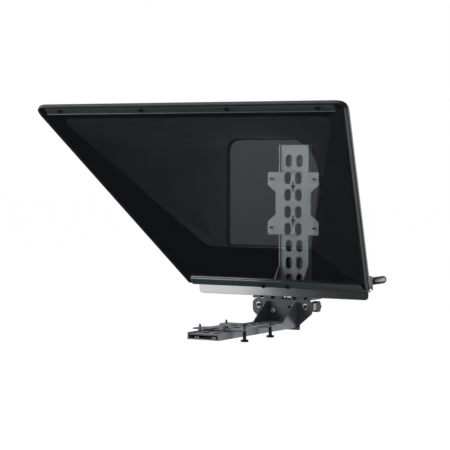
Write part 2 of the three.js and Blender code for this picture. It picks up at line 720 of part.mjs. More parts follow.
place(frame, "camera_plate", makeBase(), platePaint);
place(frame, "camera_screw", makeCameraScrew(), steel);
mirrored((side, sign) => {
  const seat = BASE_HALF - SHEET - CLEAR;
  const head = EAR_SCREW_HEAD / 2;
  const profile = [
    [0, -EAR_SCREW_HEIGHT], [head * 0.5, -EAR_SCREW_HEIGHT], [head, -EAR_SCREW_HEIGHT * 0.4],
    [head, 0], [0, 0],
  ];
  const screw = turned(profile, "x", [0, 0, 0], 14);
  if (sign < 0) screw.rotateZ(Math.PI);
  screw.translate(sign * seat, earScrewY, ROD_HEIGHT);
  place(frame, `ear_screw_${side}`, screw, blackSteel);
});

// ---- slotted rail, cross plate, mount block -------------------------------------------------

function makeRail() {
  const body = block(-RAIL_HALF, RAIL_HALF, railFront, railFront + RAIL_DEPTH, railLow, railTop);
  const notches = [-2, -1, 0, 1, 2].map((step) => {
    const x = step * NOTCH_PITCH + NOTCH_SHIFT;
    return block(
      x - NOTCH_WIDTH / 2, x + NOTCH_WIDTH / 2,
      railFront - 1, railFront + NOTCH_DEPTH, railLow - 1, railLow + NOTCH_HEIGHT,
    );
  });
  const arch = solid(slabAlongY(outline([
    [ARCH_X - ARCH_WIDTH / 2, railLow - 1, 0], [ARCH_X + ARCH_WIDTH / 2, railLow - 1, 0],
    [ARCH_X + ARCH_WIDTH / 2, railLow + ARCH_HEIGHT, ARCH_WIDTH / 3],
    [ARCH_X - ARCH_WIDTH / 2, railLow + ARCH_HEIGHT, ARCH_WIDTH / 3],
  ]), railFront - 1, railFront + RAIL_DEPTH + 1));
  const recess = block(
    ARCH_X - ARCH_WIDTH / 2 - ARCH_RECESS, ARCH_X + ARCH_WIDTH / 2,
    railFront + ARCH_LIP, railFront + RAIL_DEPTH + 1, railLow - 1, railLow + ARCH_HEIGHT,
  );
  return cutAll(body, [...notches, arch, recess]);
}

const crossTop = railLow - CLEAR;
const crossBack = CROSS_FRONT + CROSS_THICKNESS;
const ringBoltZ = crossTop - RING_BOLT_DROP;
const pivotZ = crossTop - PIVOT_SCREW_DROP;
const spareZ = crossTop - SPARE_HOLE_DROP;
const pivotX = -(ARM_HALF - SHEET - PIVOT_FROM_CHEEK - PIVOT_SCREW_HEAD / 2);

function makeCrossPlate() {
  const foot = crossTop - CROSS_HEIGHT;
  const shoulder = crossTop - CROSS_SHOULDER;
  const lobe = crossTop - CROSS_LOBE;
  const plate = solid(slabAlongY(outline([
    [-CROSS_HALF, crossTop, CROSS_LOBE_RADIUS],
    [-CROSS_HALF, lobe, CROSS_LOBE_RADIUS],
    [-CROSS_FOOT_HALF, shoulder, CROSS_SHOULDER_RADIUS],
    [-CROSS_FOOT_HALF, foot, CROSS_FOOT_RADIUS],
    [CROSS_FOOT_HALF, foot, CROSS_FOOT_RADIUS],
    [CROSS_FOOT_HALF, shoulder, CROSS_SHOULDER_RADIUS],
    [CROSS_HALF, lobe, CROSS_LOBE_RADIUS],
    [CROSS_HALF, crossTop, CROSS_LOBE_RADIUS],
  ]), CROSS_FRONT, crossBack));
  const returns = [-1, 1].map((sign) => {
    const outer = CROSS_HALF + SHEET / 2;
    const [x0, x1] = sign > 0 ? [outer - SHEET, outer] : [-outer, -outer + SHEET];
    return block(
      x0, x1, crossBack - 1, crossBack + CROSS_RETURN,
      lobe + CROSS_RETURN_INSET, crossTop - CROSS_RETURN_INSET,
    );
  });
  const holes = [
    ...[-1, 1].map((sign) => [sign * RING_BOLT_X, ringBoltZ, RING_BOLT + 2 * CLEAR]),
    [pivotX, pivotZ, PIVOT_SCREW + 2 * CLEAR],
    [SPARE_HOLE_X, spareZ, SPARE_HOLE],
  ].map(([x, z, d]) => solid(bar(d, CROSS_FRONT - 1, crossBack + 1, "y", [x, 0, z], 16)));
  return cutAll(addAll([plate, ...returns]), holes);
}

const blockFront = crossBack + CLEAR;
const blockRear = blockFront + BLOCK_DEPTH;
const blockTop = railLow - CLEAR;
const blockLow = blockTop - BLOCK_HEIGHT;
const knobY = blockRear - KNOB_FROM_REAR;
const knobZ = blockTop - KNOB_DROP;

function makeBlock() {
  const body = block(-BLOCK_HALF, BLOCK_HALF, blockFront, blockRear, blockLow, blockTop);
  const middle = (blockFront + blockRear) / 2;
  const bores = [[-BLOCK_BORE_HALF, BLOCK_BORE_LARGE], [BLOCK_BORE_HALF, BLOCK_BORE_SMALL]]
    .map(([x, d]) => solid(bar(d, blockLow - 1, blockLow + BLOCK_BORE_DEPTH, "z", [x, middle, 0], 16)));
  const knobBore = solid(bar(
    KNOB_SHAFT + 2 * CLEAR, BLOCK_HALF - KNOB_SHAFT_IN - 1, BLOCK_HALF + 1, "x", [0, knobY, knobZ],
  ));
  const pivotBore = solid(bar(
    PIVOT_SCREW + 2 * CLEAR, blockFront - 1, blockFront + PIVOT_SCREW_IN + PIVOT_BORE_SPARE,
    "y", [pivotX, 0, pivotZ], 16,
  ));
  return cutAll(body, [...bores, knobBore, pivotBore]);
}

/** Fluted knob on its shaft along X. */
function makeKnob() {
  const shape = new THREE.Shape();
  const steps = KNOB_LOBES * 8;
  for (let i = 0; i < steps; i += 1) {
    const turn = (2 * Math.PI * i) / steps;
    const r = (KNOB_DIAMETER / 2) * (1 - KNOB_FLUTE + KNOB_FLUTE * Math.cos(KNOB_LOBES * turn));
    if (i) shape.lineTo(r * Math.cos(turn), r * Math.sin(turn));
    else shape.moveTo(r, 0);
  }
  shape.closePath();
  const start = BLOCK_HALF + KNOB_REACH;
  const head = slabAlongX(shape, start, start + KNOB_LENGTH);
  head.translate(0, knobY, knobZ);
  const shaft = bar(KNOB_SHAFT, BLOCK_HALF - KNOB_SHAFT_IN, start + 2, "x", [0, knobY, knobZ]);
  return solid(head).add(solid(shaft));
}

place(frame, "slotted_rail", makeRail(), blackPaint);
place(frame, "cross_plate", makeCrossPlate(), blackPaint);
place(frame, "mount_block", makeBlock(), blackPaint);
place(frame, "clamp_knob", makeKnob(), blackPlastic);

mirrored((side, sign) => {
  const x = sign * RING_BOLT_X;
  const washerFront = CROSS_FRONT - CLEAR - RING_WASHER_THICKNESS;
  const washer = solid(bar(RING_WASHER, washerFront, CROSS_FRONT - CLEAR, "y", [x, 0, ringBoltZ]));
  const hole = solid(bar(RING_BOLT + 2 * CLEAR, washerFront - 1, CROSS_FRONT, "y", [x, 0, ringBoltZ], 16));
  place(frame, `ring_washer_${side}`, washer.subtract(hole), steel);
  const r = RING_BOLT / 2;
  const head = RING_HEAD / 2;
  const seat = washerFront - CLEAR;
  const front = seat - RING_HEAD_HEIGHT;
  const socket = head * 0.45;
  const end = crossBack + RING_BOLT_OUT;
  place(frame, `ring_bolt_${side}`, turned([
    [0, front + socket], [socket, front + socket], [socket, front], [head * 0.85, front],
    [head, front + head * 0.2], [head, seat], [r, seat], [r, end], [0, end],
  ], "y", [x, 0, ringBoltZ]), blackSteel);
});

// ---- monitor arm ----------------------------------------------------------------------------

const armRear = CROSS_FRONT - CLEAR;
const armLow = ARM_TOP - ARM_HEIGHT;
const webTop = ARM_TOP - ARM_WEB_DROP;
const webLow = webTop - SHEET;
const slotRows = Array.from({ length: ARM_SLOT_ROWS }, (_, i) => ARM_SLOT_FIRST - i * ARM_SLOT_PITCH);
const vesaScrewYs = [VESA_CENTRE_Y - VESA_SCREW_PITCH / 2, VESA_CENTRE_Y + VESA_SCREW_PITCH / 2];

function makeArm() {
  const gussetFront = armRear - GUSSET_RUN;
  const gussetTop = ARM_TOP + GUSSET_RISE;
  const cheeks = [-1, 1].map((sign) => {
    const [x0, x1] = sign > 0 ? [ARM_HALF - SHEET, ARM_HALF] : [-ARM_HALF, -ARM_HALF + SHEET];
    return solid(slabAlongX(outline([
      [ARM_FRONT, armLow, 0], [armRear, armLow, 0],
      [armRear, gussetTop, 2], [armRear - GUSSET_TOP_ROUND, gussetTop - 1, GUSSET_TOP_ROUND / 2],
      [armRear - GUSSET_BEND_RUN, ARM_TOP + GUSSET_BEND_RISE, GUSSET_BEND_RADIUS],
      [gussetFront, ARM_TOP, GUSSET_BEND_RADIUS / 2], [ARM_FRONT, ARM_TOP, 0],
    ]), x0, x1));
  });
  const web = block(-ARM_HALF + 1, ARM_HALF - 1, ARM_FRONT + 1, armRear, webLow, webTop);
  const back = block(
    -ARM_HALF + 1, ARM_HALF - 1, armRear - SHEET, armRear, webLow, ARM_TOP + BACK_PLATE_RISE,
  );
  const slots = slotRows.flatMap((y) => [-1, 1].map((sign) => longHole(
    sign * ARM_SLOT_X, y, ARM_SLOT_LENGTH, ARM_SLOT_WIDTH, webLow - 1, webTop + 1, "y",
  )));
  const screwHoles = vesaScrewYs.map((y) => solid(
    bar(VESA_SCREW + 2 * CLEAR, webLow - 1, webTop + 1, "z", [0, y, 0], 12),
  ));
  const backHoles = [
    [pivotX, pivotZ, PIVOT_SCREW + 2 * CLEAR], [SPARE_HOLE_X, spareZ, SPARE_HOLE],
  ].map(([x, z, d]) => solid(bar(d, armRear - SHEET - 1, armRear + 1, "y", [x, 0, z], 16)));
  return cutAll(addAll([...cheeks, web, back]), [...slots, ...screwHoles, ...backHoles]);
}

const coverHalf = ARM_HALF - SHEET - CLEAR;
const coverFront = ARM_FRONT + 1;
const coverRear = armRear - ARM_COVER_SHORT;
const studY = coverFront + STUD_INSET;
const studOuter = ARM_HALF - STUD_FROM_SIDE;
const studXs = [-1, 1].flatMap((sign) => [sign * (studOuter - STUD_PITCH), sign * studOuter]);

function makeCover() {
  return block(-coverHalf, coverHalf, coverFront, coverRear, armLow, armLow + ARM_COVER);
}

function makePivotScrew() {
  const seat = armRear - SHEET - CLEAR;
  const r = PIVOT_SCREW / 2;
  const rim = PIVOT_SCREW_HEAD / 2;
  const front = seat - PIVOT_HEAD_HEIGHT;
  const end = blockFront + PIVOT_SCREW_IN;
  const screw = solid(turned([
    [0, front], [rim * 0.85, front], [rim, front + rim * 0.18], [rim, seat], [r, seat], [r, end], [0, end],
  ], "y", [pivotX, 0, pivotZ]));
  const half = PIVOT_SLOT_WIDTH / 2;
  const slot = block(
    pivotX - half, pivotX + half, front - 1, front + PIVOT_SLOT_DEPTH, pivotZ - rim - 1, pivotZ + rim + 1,
  );
  return screw.subtract(slot);
}

place(frame, "monitor_arm", makeArm(), blackPaint);
place(frame, "arm_cover", makeCover(), blackPaint);
place(frame, "pivot_screw", makePivotScrew(), steel);
studXs.forEach((x, i) => {
  const base = armLow + ARM_COVER + CLEAR;
  const top = base + STUD_HEIGHT;
  const r = STUD_DIAMETER / 2;
  place(frame, `arm_stud_${i + 1}`, turned([
    [0, base], [r, base], [r, top - r * 0.3], [r * 0.7, top], [0, top],
  ], "z", [x, studY, 0], 12), steel);
});

// ---- display plate, its screws, spacers and thumb screws ---------------------------------------

const vesaLow = ARM_TOP + CLEAR;
const vesaTop = vesaLow + VESA_SHEET;
const earOut = VESA_PITCH / 2 + VESA_OVERHANG;
const vesaFront = VESA_CENTRE_Y - earOut;
const vesaRear = VESA_CENTRE_Y + earOut;
const vesaHoles = [
  [-1, 1], [1, 1], [1, -1], [-1, -1],
].map(([a, b]) => [(a * VESA_PITCH) / 2, VESA_CENTRE_Y + (b * VESA_PITCH) / 2]);

function makeVesaPlate() {
  const half = VESA_WAIST_LENGTH / 2;
  const right = [
    [VESA_HALF, -earOut, VESA_CORNER], [VESA_HALF, VESA_EAR - earOut, VESA_CORNER],
    [VESA_WAIST_HALF, -half, VESA_WAIST_RADIUS], [VESA_WAIST_HALF, half, VESA_WAIST_RADIUS],
    [VESA_HALF, earOut - VESA_EAR, VESA_CORNER], [VESA_HALF, earOut, VESA_CORNER],
  ];
  const left = right.map(([x, y, r]) => [-x, y, r]).reverse();
  const geometry = slab(outline([...right, ...left]), vesaLow, vesaTop);
  geometry.translate(0, VESA_CENTRE_Y, 0);
  const openings = slotRows
    .filter((y) => y > vesaFront - ARM_SLOT_LENGTH / 2 && y < vesaRear + ARM_SLOT_LENGTH / 2)
    .flatMap((y) => [-1, 1].map((sign) => longHole(
      sign * ARM_SLOT_X, y, ARM_SLOT_LENGTH, ARM_SLOT_WIDTH, vesaLow - 1, vesaTop + 1, "y",
    )));
  const guideWidth = VESA_SCREW + 2 * CLEAR;
  const guides = vesaScrewYs.map((y) => longHole(
    0, y, guideWidth + 2 * VESA_TRAVEL + VESA_GUIDE_SPARE, guideWidth, vesaLow - 1, vesaTop + 1, "y",
  ));
  const holes = vesaHoles.map(([x, y]) => solid(
    bar(VESA_HOLE, vesaLow - 1, vesaTop + 1, "z", [x, y, 0], 16),
  ));
  return cutAll(solid(geometry), [...openings, ...guides, ...holes]);
}

place(frame, "vesa_plate", makeVesaPlate(), blackPaint);
vesaScrewYs.forEach((y, i) => {
  const seat = vesaTop + CLEAR;
  const r = VESA_SCREW / 2;
  const head = VESA_SCREW_HEAD / 2;
  const nutTop = webLow - CLEAR;
  const end = nutTop - VESA_SCREW_OUT;
  const top = seat + VESA_SCREW_HEAD_HEIGHT;
  place(frame, `vesa_screw_${i + 1}`, turned([
    [0, end], [r, end], [r, seat], [head, seat], [head, (seat + top) / 2], [head * 0.7, top], [0, top],
  ], "z", [0, y, 0], 16), blackSteel);
  const nut = solid(bar(VESA_NUT, nutTop - VESA_NUT_HEIGHT, nutTop, "z", [0, y, 0], 6));
  const bore = solid(bar(
    VESA_SCREW + 2 * CLEAR, nutTop - VESA_NUT_HEIGHT - 1, nutTop + 1, "z", [0, y, 0], 12,
  ));
  place(frame, `vesa_nut_${i + 1}`, nut.subtract(bore), steel);
});

const spacerTop = vesaLow - CLEAR;
const spacerLow = spacerTop - SPACER_LENGTH;
vesaHoles.forEach(([x, y], i) => {
  const tube = solid(bar(SPACER_DIAMETER, spacerLow, spacerTop, "z", [x, y, 0], 20));
  const bore = solid(bar(SPACER_BORE, spacerLow - 1, spacerTop + 1, "z", [x, y, 0], 16));
  place(frame, `spacer_${i + 1}`, tube.subtract(bore), blackSteel);
  const discTop = spacerLow - CLEAR;
  const discLow = discTop - THUMB_DISC_HEIGHT;
  const r = THUMB_SHANK / 2;
  const disc = THUMB_DISC / 2;
  place(frame, `thumb_screw_${i + 1}`, turned([
    [0, discLow], [disc - 0.6, discLow], [disc, discLow + 0.6], [disc, discTop - 0.6],
    [disc - 0.6, discTop], [r, discTop], [r, vesaTop + THUMB_TIP - 0.5],
    [r * 0.7, vesaTop + THUMB_TIP], [0, vesaTop + THUMB_TIP],
  ], "z", [x, y, 0]), blackSteel);
});

// ---- whole object, with its origin at the middle of the mount block's bottom face --------------

const teleprompter = new THREE.Group();
teleprompter.add(trayGroup, frame);
teleprompter.position.set(0, -(blockFront + blockRear) / 2, -blockLow);
teleprompter.updateMatrixWorld(true);

export default teleprompter;
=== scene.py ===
"""Looks of the beam-splitter teleprompter, in metres, with +Z up and -Y towards the talent."""
import json
import logging
import math
from dataclasses import dataclass, field
from enum import Enum
from typing import Callable, Sequence

import bmesh
import bpy
from mathutils import Matrix, Vector


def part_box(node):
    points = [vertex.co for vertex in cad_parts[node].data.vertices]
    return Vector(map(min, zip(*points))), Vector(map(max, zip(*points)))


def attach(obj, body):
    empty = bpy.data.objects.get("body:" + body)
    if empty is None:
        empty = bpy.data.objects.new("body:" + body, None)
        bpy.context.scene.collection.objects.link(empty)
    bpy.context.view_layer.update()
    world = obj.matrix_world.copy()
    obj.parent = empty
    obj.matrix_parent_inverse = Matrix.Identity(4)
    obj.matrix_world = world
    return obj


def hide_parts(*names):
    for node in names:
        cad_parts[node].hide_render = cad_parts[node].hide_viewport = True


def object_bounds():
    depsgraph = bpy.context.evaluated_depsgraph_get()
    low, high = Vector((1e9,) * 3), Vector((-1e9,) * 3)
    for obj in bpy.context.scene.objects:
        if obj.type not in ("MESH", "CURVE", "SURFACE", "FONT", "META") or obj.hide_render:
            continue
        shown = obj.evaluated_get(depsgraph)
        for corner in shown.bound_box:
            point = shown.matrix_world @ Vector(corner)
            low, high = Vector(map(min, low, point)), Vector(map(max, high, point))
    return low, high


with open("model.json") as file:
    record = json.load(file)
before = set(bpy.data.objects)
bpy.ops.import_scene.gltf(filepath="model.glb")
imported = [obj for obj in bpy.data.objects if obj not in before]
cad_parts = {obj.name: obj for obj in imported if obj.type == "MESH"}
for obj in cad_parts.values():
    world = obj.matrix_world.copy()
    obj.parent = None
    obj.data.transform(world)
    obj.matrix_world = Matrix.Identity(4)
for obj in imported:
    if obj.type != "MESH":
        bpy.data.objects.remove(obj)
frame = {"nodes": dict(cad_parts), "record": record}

CAD_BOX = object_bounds()
MM = 0.001
log = logging.getLogger("teleprompter")
BODIES = frame["record"]["behaviour"]["bodies"]
NODE_BODY = {node: body for body, nodes in BODIES.items() for node in nodes}
FINE_DETAIL = 3.0  # layers of noise in the fine texture
BLOTCH_SCALE = 14.0  # blotches per metre
BLOTCH_DETAIL = 4.0
CHIP_SCALE = 160.0  # breaks per metre along a rubbed edge
CHIP_DETAIL = 5.0
WEAR_STEEPNESS = 14.0  # how fast wear sets in past the edge's threshold
TONE_SWING = 2.2  # how much further tone wanders than roughness
RUBBED_POLISH = 0.1  # how much smoother a rubbed edge is
MERGE_DISTANCE = 2e-6  # points of a frame node nearer than this are one
SMOOTH_BELOW = 40.0  # degrees between faces that a rounded piece still smooths over
SEAT_GAP = 0.15 * MM  # under a screw's head
FACING = 0.9  # cosine from which a face counts as facing a direction
SQUARE_ON = 0.95  # the same, but leaving out the steps of a rounded edge
GLASS_HAZE = 0.012  # most roughness of the wiped glass


class Axis(Enum):
    """A row axis, as the turn that takes +Z onto it."""

    X = (0.0, math.pi / 2, 0.0)
    Y = (-math.pi / 2, 0.0, 0.0)
    Z = (0.0, 0.0, 0.0)


class Grain(Enum):
    """Direction of the fine marks in a finish, as the scale of its noise along X, Y and Z."""

    EVEN = (1.0, 1.0, 1.0)
    ALONG_X = (0.02, 1.0, 1.0)
    ALONG_Y = (1.0, 0.02, 1.0)


# ---- node groups ----------------------------------------------------------------------------


def new_group(
    name: str, inputs: Sequence[tuple[str, float]], outputs: Sequence[str],
) -> bpy.types.ShaderNodeTree:
    """Starts a shader node group whose sockets are all single values.

    Args:
        name: The group's name.
        inputs: Name and default of each input.
        outputs: Name of each output.

    Returns:
        The group, with its input and output nodes named "in" and "out".
    """
    group = bpy.data.node_groups.new(name, "ShaderNodeTree")
    for label, default in inputs:
        socket = group.interface.new_socket(label, in_out="INPUT", socket_type="NodeSocketFloat")
        socket.default_value = default
    for label in outputs:
        group.interface.new_socket(label, in_out="OUTPUT", socket_type="NodeSocketFloat")
    group.nodes.new("NodeGroupInput").name = "in"
    group.nodes.new("NodeGroupOutput").name = "out"
    return group


def math_node(
    tree: bpy.types.NodeTree, operation: str, a: object, b: object = 0.0,
) -> bpy.types.NodeSocket:
    """Adds a Math node whose two terms are numbers or sockets.

    Args:
        tree: The node tree.
        operation: The Math node's operation.
        a: First term.
        b: Second term.

    Returns:
        The result's socket.
    """
    node = tree.nodes.new("ShaderNodeMath")
    node.operation = operation
    for socket, value in zip(node.inputs, (a, b)):
        if isinstance(value, bpy.types.NodeSocket):
            tree.links.new(value, socket)
        else:
            socket.default_value = value
    return node.outputs[0]


def build_grain_group() -> bpy.types.ShaderNodeTree:
    """Builds the group for fine surface texture: a height, and slow blotches for tone.

    Returns:
        The group "surface_grain".
    """
    group = new_group(
        "surface_grain",
        (("Scale", 900.0), ("Stretch X", 1.0), ("Stretch Y", 1.0), ("Stretch Z", 1.0)),
        ("Height", "Blotch"),
    )
    source, out = group.nodes["in"], group.nodes["out"]
    coordinates = group.nodes.new("ShaderNodeTexCoord")
    stretch = group.nodes.new("ShaderNodeCombineXYZ")
    for label, socket in zip(("Stretch X", "Stretch Y", "Stretch Z"), stretch.inputs):
        group.links.new(source.outputs[label], socket)
    scaled = group.nodes.new("ShaderNodeVectorMath")
    scaled.operation = "MULTIPLY"
    group.links.new(coordinates.outputs["Object"], scaled.inputs[0])
    group.links.new(stretch.outputs[0], scaled.inputs[1])
    fine = group.nodes.new("ShaderNodeTexNoise")
    fine.inputs["Detail"].default_value = FINE_DETAIL
    group.links.new(scaled.outputs[0], fine.inputs["Vector"])
    group.links.new(source.outputs["Scale"], fine.inputs["Scale"])
    slow = group.nodes.new("ShaderNodeTexNoise")
    slow.inputs["Scale"].default_value = BLOTCH_SCALE
    slow.inputs["Detail"].default_value = BLOTCH_DETAIL
    group.links.new(coordinates.outputs["Object"], slow.inputs["Vector"])
    group.links.new(fine.outputs["Fac"], out.inputs["Height"])
    group.links.new(slow.outputs["Fac"], out.inputs["Blotch"])
    return group


def build_wear_group() -> bpy.types.ShaderNodeTree:
    """Builds the group that marks rubbed edges: convex edges, broken up by noise.

    Returns:
        The group "edge_wear".
    """
    group = new_group("edge_wear", (("Edge", 0.53), ("Amount", 0.5)), ("Mask",))
    source, out = group.nodes["in"], group.nodes["out"]
    geometry = group.nodes.new("ShaderNodeNewGeometry")
    coordinates = group.nodes.new("ShaderNodeTexCoord")
    noise = group.nodes.new("ShaderNodeTexNoise")
    noise.inputs["Scale"].default_value = CHIP_SCALE
    noise.inputs["Detail"].default_value = CHIP_DETAIL
    group.links.new(coordinates.outputs["Object"], noise.inputs["Vector"])
    over = math_node(group, "SUBTRACT", geometry.outputs["Pointiness"], source.outputs["Edge"])
    steep = math_node(group, "MULTIPLY", over, WEAR_STEEPNESS)
    broken = math_node(group, "MULTIPLY", steep, noise.outputs["Fac"])
    strong = math_node(group, "MULTIPLY", broken, source.outputs["Amount"])
    clamped = math_node(group, "MINIMUM", math_node(group, "MAXIMUM", strong, 0.0), 1.0)
    group.links.new(clamped, out.inputs["Mask"])
    return group


GRAIN_GROUP = build_grain_group()
WEAR_GROUP = build_wear_group()


def place_group(
    tree: bpy.types.NodeTree, group: bpy.types.ShaderNodeTree, **values: float,
) -> bpy.types.Node:
    """Adds a node group to a material and sets its inputs.

    Args:
        tree: The material's node tree.
        group: The group to place.
        **values: Input values, with underscores for the spaces in their names.

    Returns:
        The group node.
    """
    node = tree.nodes.new("ShaderNodeGroup")
    node.node_tree = group
    for key, value in values.items():
        node.inputs[key.replace("_", " ")].default_value = value
    return node


# ---- finishes ---------------------------------------------------------------------------------


@dataclass(frozen=True)
class Finish:
    """A surface finish and how its material is made.

    Attributes:
        name: Material name.
        slot: The record's material slot; not used.
        colour: Base colour, linear.
        rough: Roughness.
        metal: Metallic value.
        spread: How far roughness and tone wander over the surface.
        grain: Noise scale of the fine texture, per metre.
        bump: Depth of the fine texture, in metres.
        run: Direction of the fine marks.
        worn: Colour that shows on rubbed edges.
        wear: Amount of edge wear.
        specular: Strength of the plain reflection, where 0.5 is usual.
    """

    name: str
    slot: str
    colour: tuple[float, float, float]
    rough: float
    metal: float = 0.0
    spread: float = 0.06
    grain: float = 900.0
    bump: float = 0.00004
    run: Grain = Grain.EVEN
    worn: tuple[float, float, float] = (0.2, 0.2, 0.2)
    wear: float = 0.3
    specular: float = 0.5

    def build(self) -> bpy.types.Material:
        """Makes the material.

        Returns:
            The node material, shared by every piece with this finish.
        """
        made = bpy.data.materials.get(self.name)
        if made:
            return made
        material = bpy.data.materials.new(self.name)
        material.use_nodes = True
        material.diffuse_color = (*self.colour, 1.0)
        tree = material.node_tree
        shader = tree.nodes["Principled BSDF"]
        shader.inputs["Specular IOR Level"].default_value = self.specular
        stretch = self.run.value
        grain = place_group(
            tree, GRAIN_GROUP, Scale=self.grain,
            Stretch_X=stretch[0], Stretch_Y=stretch[1], Stretch_Z=stretch[2],
        )
        wear = place_group(tree, WEAR_GROUP, Amount=self.wear)
        tone = tree.nodes.new("ShaderNodeMix")
        tone.data_type = "RGBA"
        darker = tuple(channel * (1.0 - TONE_SWING * self.spread) for channel in self.colour)
        lighter = tuple(channel * (1.0 + TONE_SWING * self.spread) for channel in self.colour)
        tone.inputs["A"].default_value = (*darker, 1.0)
        tone.inputs["B"].default_value = (*lighter, 1.0)
        tree.links.new(grain.outputs["Blotch"], tone.inputs["Factor"])
        rubbed = tree.nodes.new("ShaderNodeMix")
        rubbed.data_type = "RGBA"
        rubbed.inputs["B"].default_value = (*self.worn, 1.0)
        tree.links.new(tone.outputs["Result"], rubbed.inputs["A"])
        tree.links.new(wear.outputs["Mask"], rubbed.inputs["Factor"])
        tree.links.new(rubbed.outputs["Result"], shader.inputs["Base Color"])
        wander = math_node(tree, "MULTIPLY_ADD", grain.outputs["Blotch"], 2.0 * self.spread)
        wander.node.inputs[2].default_value = self.rough - self.spread
        rubbing = math_node(tree, "MULTIPLY", wear.outputs["Mask"], RUBBED_POLISH)
        polished = math_node(tree, "SUBTRACT", wander, rubbing)
        tree.links.new(polished, shader.inputs["Roughness"])
        shader.inputs["Metallic"].default_value = self.metal
        bump = tree.nodes.new("ShaderNodeBump")
        bump.inputs["Distance"].default_value = self.bump
        tree.links.new(grain.outputs["Height"], bump.inputs["Height"])
        tree.links.new(bump.outputs["Normal"], shader.inputs["Normal"])
        return material


MOULDED_BLACK = Finish(
    "moulded_black", "black_plastic", (0.0068, 0.0072, 0.0085), 0.52,
    spread=0.05, grain=1500.0, bump=0.00003, worn=(0.03, 0.03, 0.032), wear=0.2, specular=0.35,
)
MASK_BLACK = Finish(
    "mask_black", "black_plastic", (0.038, 0.04, 0.048), 0.72,
    spread=0.05, grain=2200.0, bump=0.00003, worn=(0.01, 0.01, 0.01), wear=0.0, specular=0.2,
)
RAIL_GREY = Finish(
    "rail_grey", "rail_paint", (0.022, 0.033, 0.035), 0.34,
    metal=0.35, spread=0.05, grain=1300.0, bump=0.00002, run=Grain.ALONG_X,
    worn=(0.3, 0.33, 0.33), wear=0.35,
)
# Painted light: the hood's inner faces, lighter than its outer moulding, as if lit through the glass
# and the opening.
HOOD_INSIDE_PAINTED_LIGHT = Finish(
    "hood_inside_painted_light", "black_plastic", (0.1, 0.102, 0.1), 0.85,
    spread=0.05, grain=2400.0, bump=0.00006, worn=(0.06, 0.06, 0.06), wear=0.0, specular=0.15,
)
ARM_POWDER = Finish(
    "arm_powder_coat", "arm_paint", (0.12, 0.137, 0.16), 0.36,
    metal=0.75, spread=0.05, grain=1900.0, worn=(0.3, 0.32, 0.34), wear=0.35,
)
# Painted light: a lighter grey for the arm's upper faces, standing for light falling from above.
ARM_TOP_PAINTED_LIGHT = Finish(
    "arm_top_painted_light", "arm_paint", (0.31, 0.33, 0.34), 0.4,
    metal=0.5, spread=0.05, grain=1900.0, worn=(0.5, 0.52, 0.54), wear=0.2,
)
RIM_SIDE = Finish(
    "rim_side", "black_plastic", (0.034, 0.035, 0.034), 0.38,
    metal=0.4, spread=0.05, grain=1500.0, bump=0.00003, worn=(0.06, 0.06, 0.06), wear=0.2,
)
# Painted sheen: a lighter strip on the right rim's front that stands for reflected light.
RIM_PAINTED_SHEEN = Finish(
    "rim_painted_sheen", "black_plastic", (0.056, 0.058, 0.056), 0.42,
    metal=0.2, spread=0.05, grain=1500.0, bump=0.00003, worn=(0.1, 0.1, 0.1), wear=0.2,
)
# The support's own dark coat; on the arm's and display plate's front faces it is painted shade.
SUPPORT_DARK = Finish(
    "support_dark_coat_and_painted_shade", "arm_paint", (0.03, 0.034, 0.038), 0.42,
    metal=0.35, spread=0.05, grain=1900.0, worn=(0.25, 0.27, 0.28),
)
PLATE_SATIN = Finish(
    "plate_satin", "plate_paint", (0.115, 0.12, 0.12), 0.11,
    metal=0.9, spread=0.03, grain=1500.0, bump=0.00001, run=Grain.ALONG_X,
    worn=(0.35, 0.35, 0.35), wear=0.2,
)
BRACKET_GREY = Finish(
    "bracket_grey", "bracket_paint", (0.085, 0.095, 0.095), 0.42,
    metal=0.35, grain=1300.0, bump=0.00003, worn=(0.35, 0.35, 0.35), wear=0.35,
)
BRIGHT_STEEL = Finish(
    "bright_steel", "bright_steel", (0.72, 0.72, 0.72), 0.38,
    metal=1.0, grain=1600.0, bump=0.00002, worn=(0.7, 0.7, 0.7), wear=0.2,
)
BRUSHED_ROD = Finish(
    "brushed_rod", "bright_steel", (0.2, 0.205, 0.205), 0.38,
    metal=1.0, spread=0.05, grain=1800.0, bump=0.00003, run=Grain.ALONG_Y, worn=(0.7, 0.7, 0.7),
    wear=0.2,
)
BLACK_STEEL = Finish(
    "black_steel", "black_steel", (0.014, 0.015, 0.017), 0.4,
    metal=0.5, grain=1500.0, bump=0.00002, wear=0.4,
)
SCREW_BLACK = Finish(
    "screw_black", "black_steel", (0.004, 0.004, 0.005), 0.42,
    spread=0.05, grain=1500.0, bump=0.00002, worn=(0.03, 0.03, 0.03), specular=0.3,
)
KNOB_BLACK = Finish(
    "knob_black", "black_plastic", (0.012, 0.012, 0.013), 0.5,
    grain=1200.0, bump=0.00005, worn=(0.05, 0.05, 0.05),
)
SEAL_FOAM = Finish(
    "seal_foam", "seal_foam", (0.008, 0.008, 0.009), 0.92,
    spread=0.04, grain=2600.0, bump=0.0002, worn=(0.02, 0.02, 0.02), wear=0.1, specular=0.2,
)


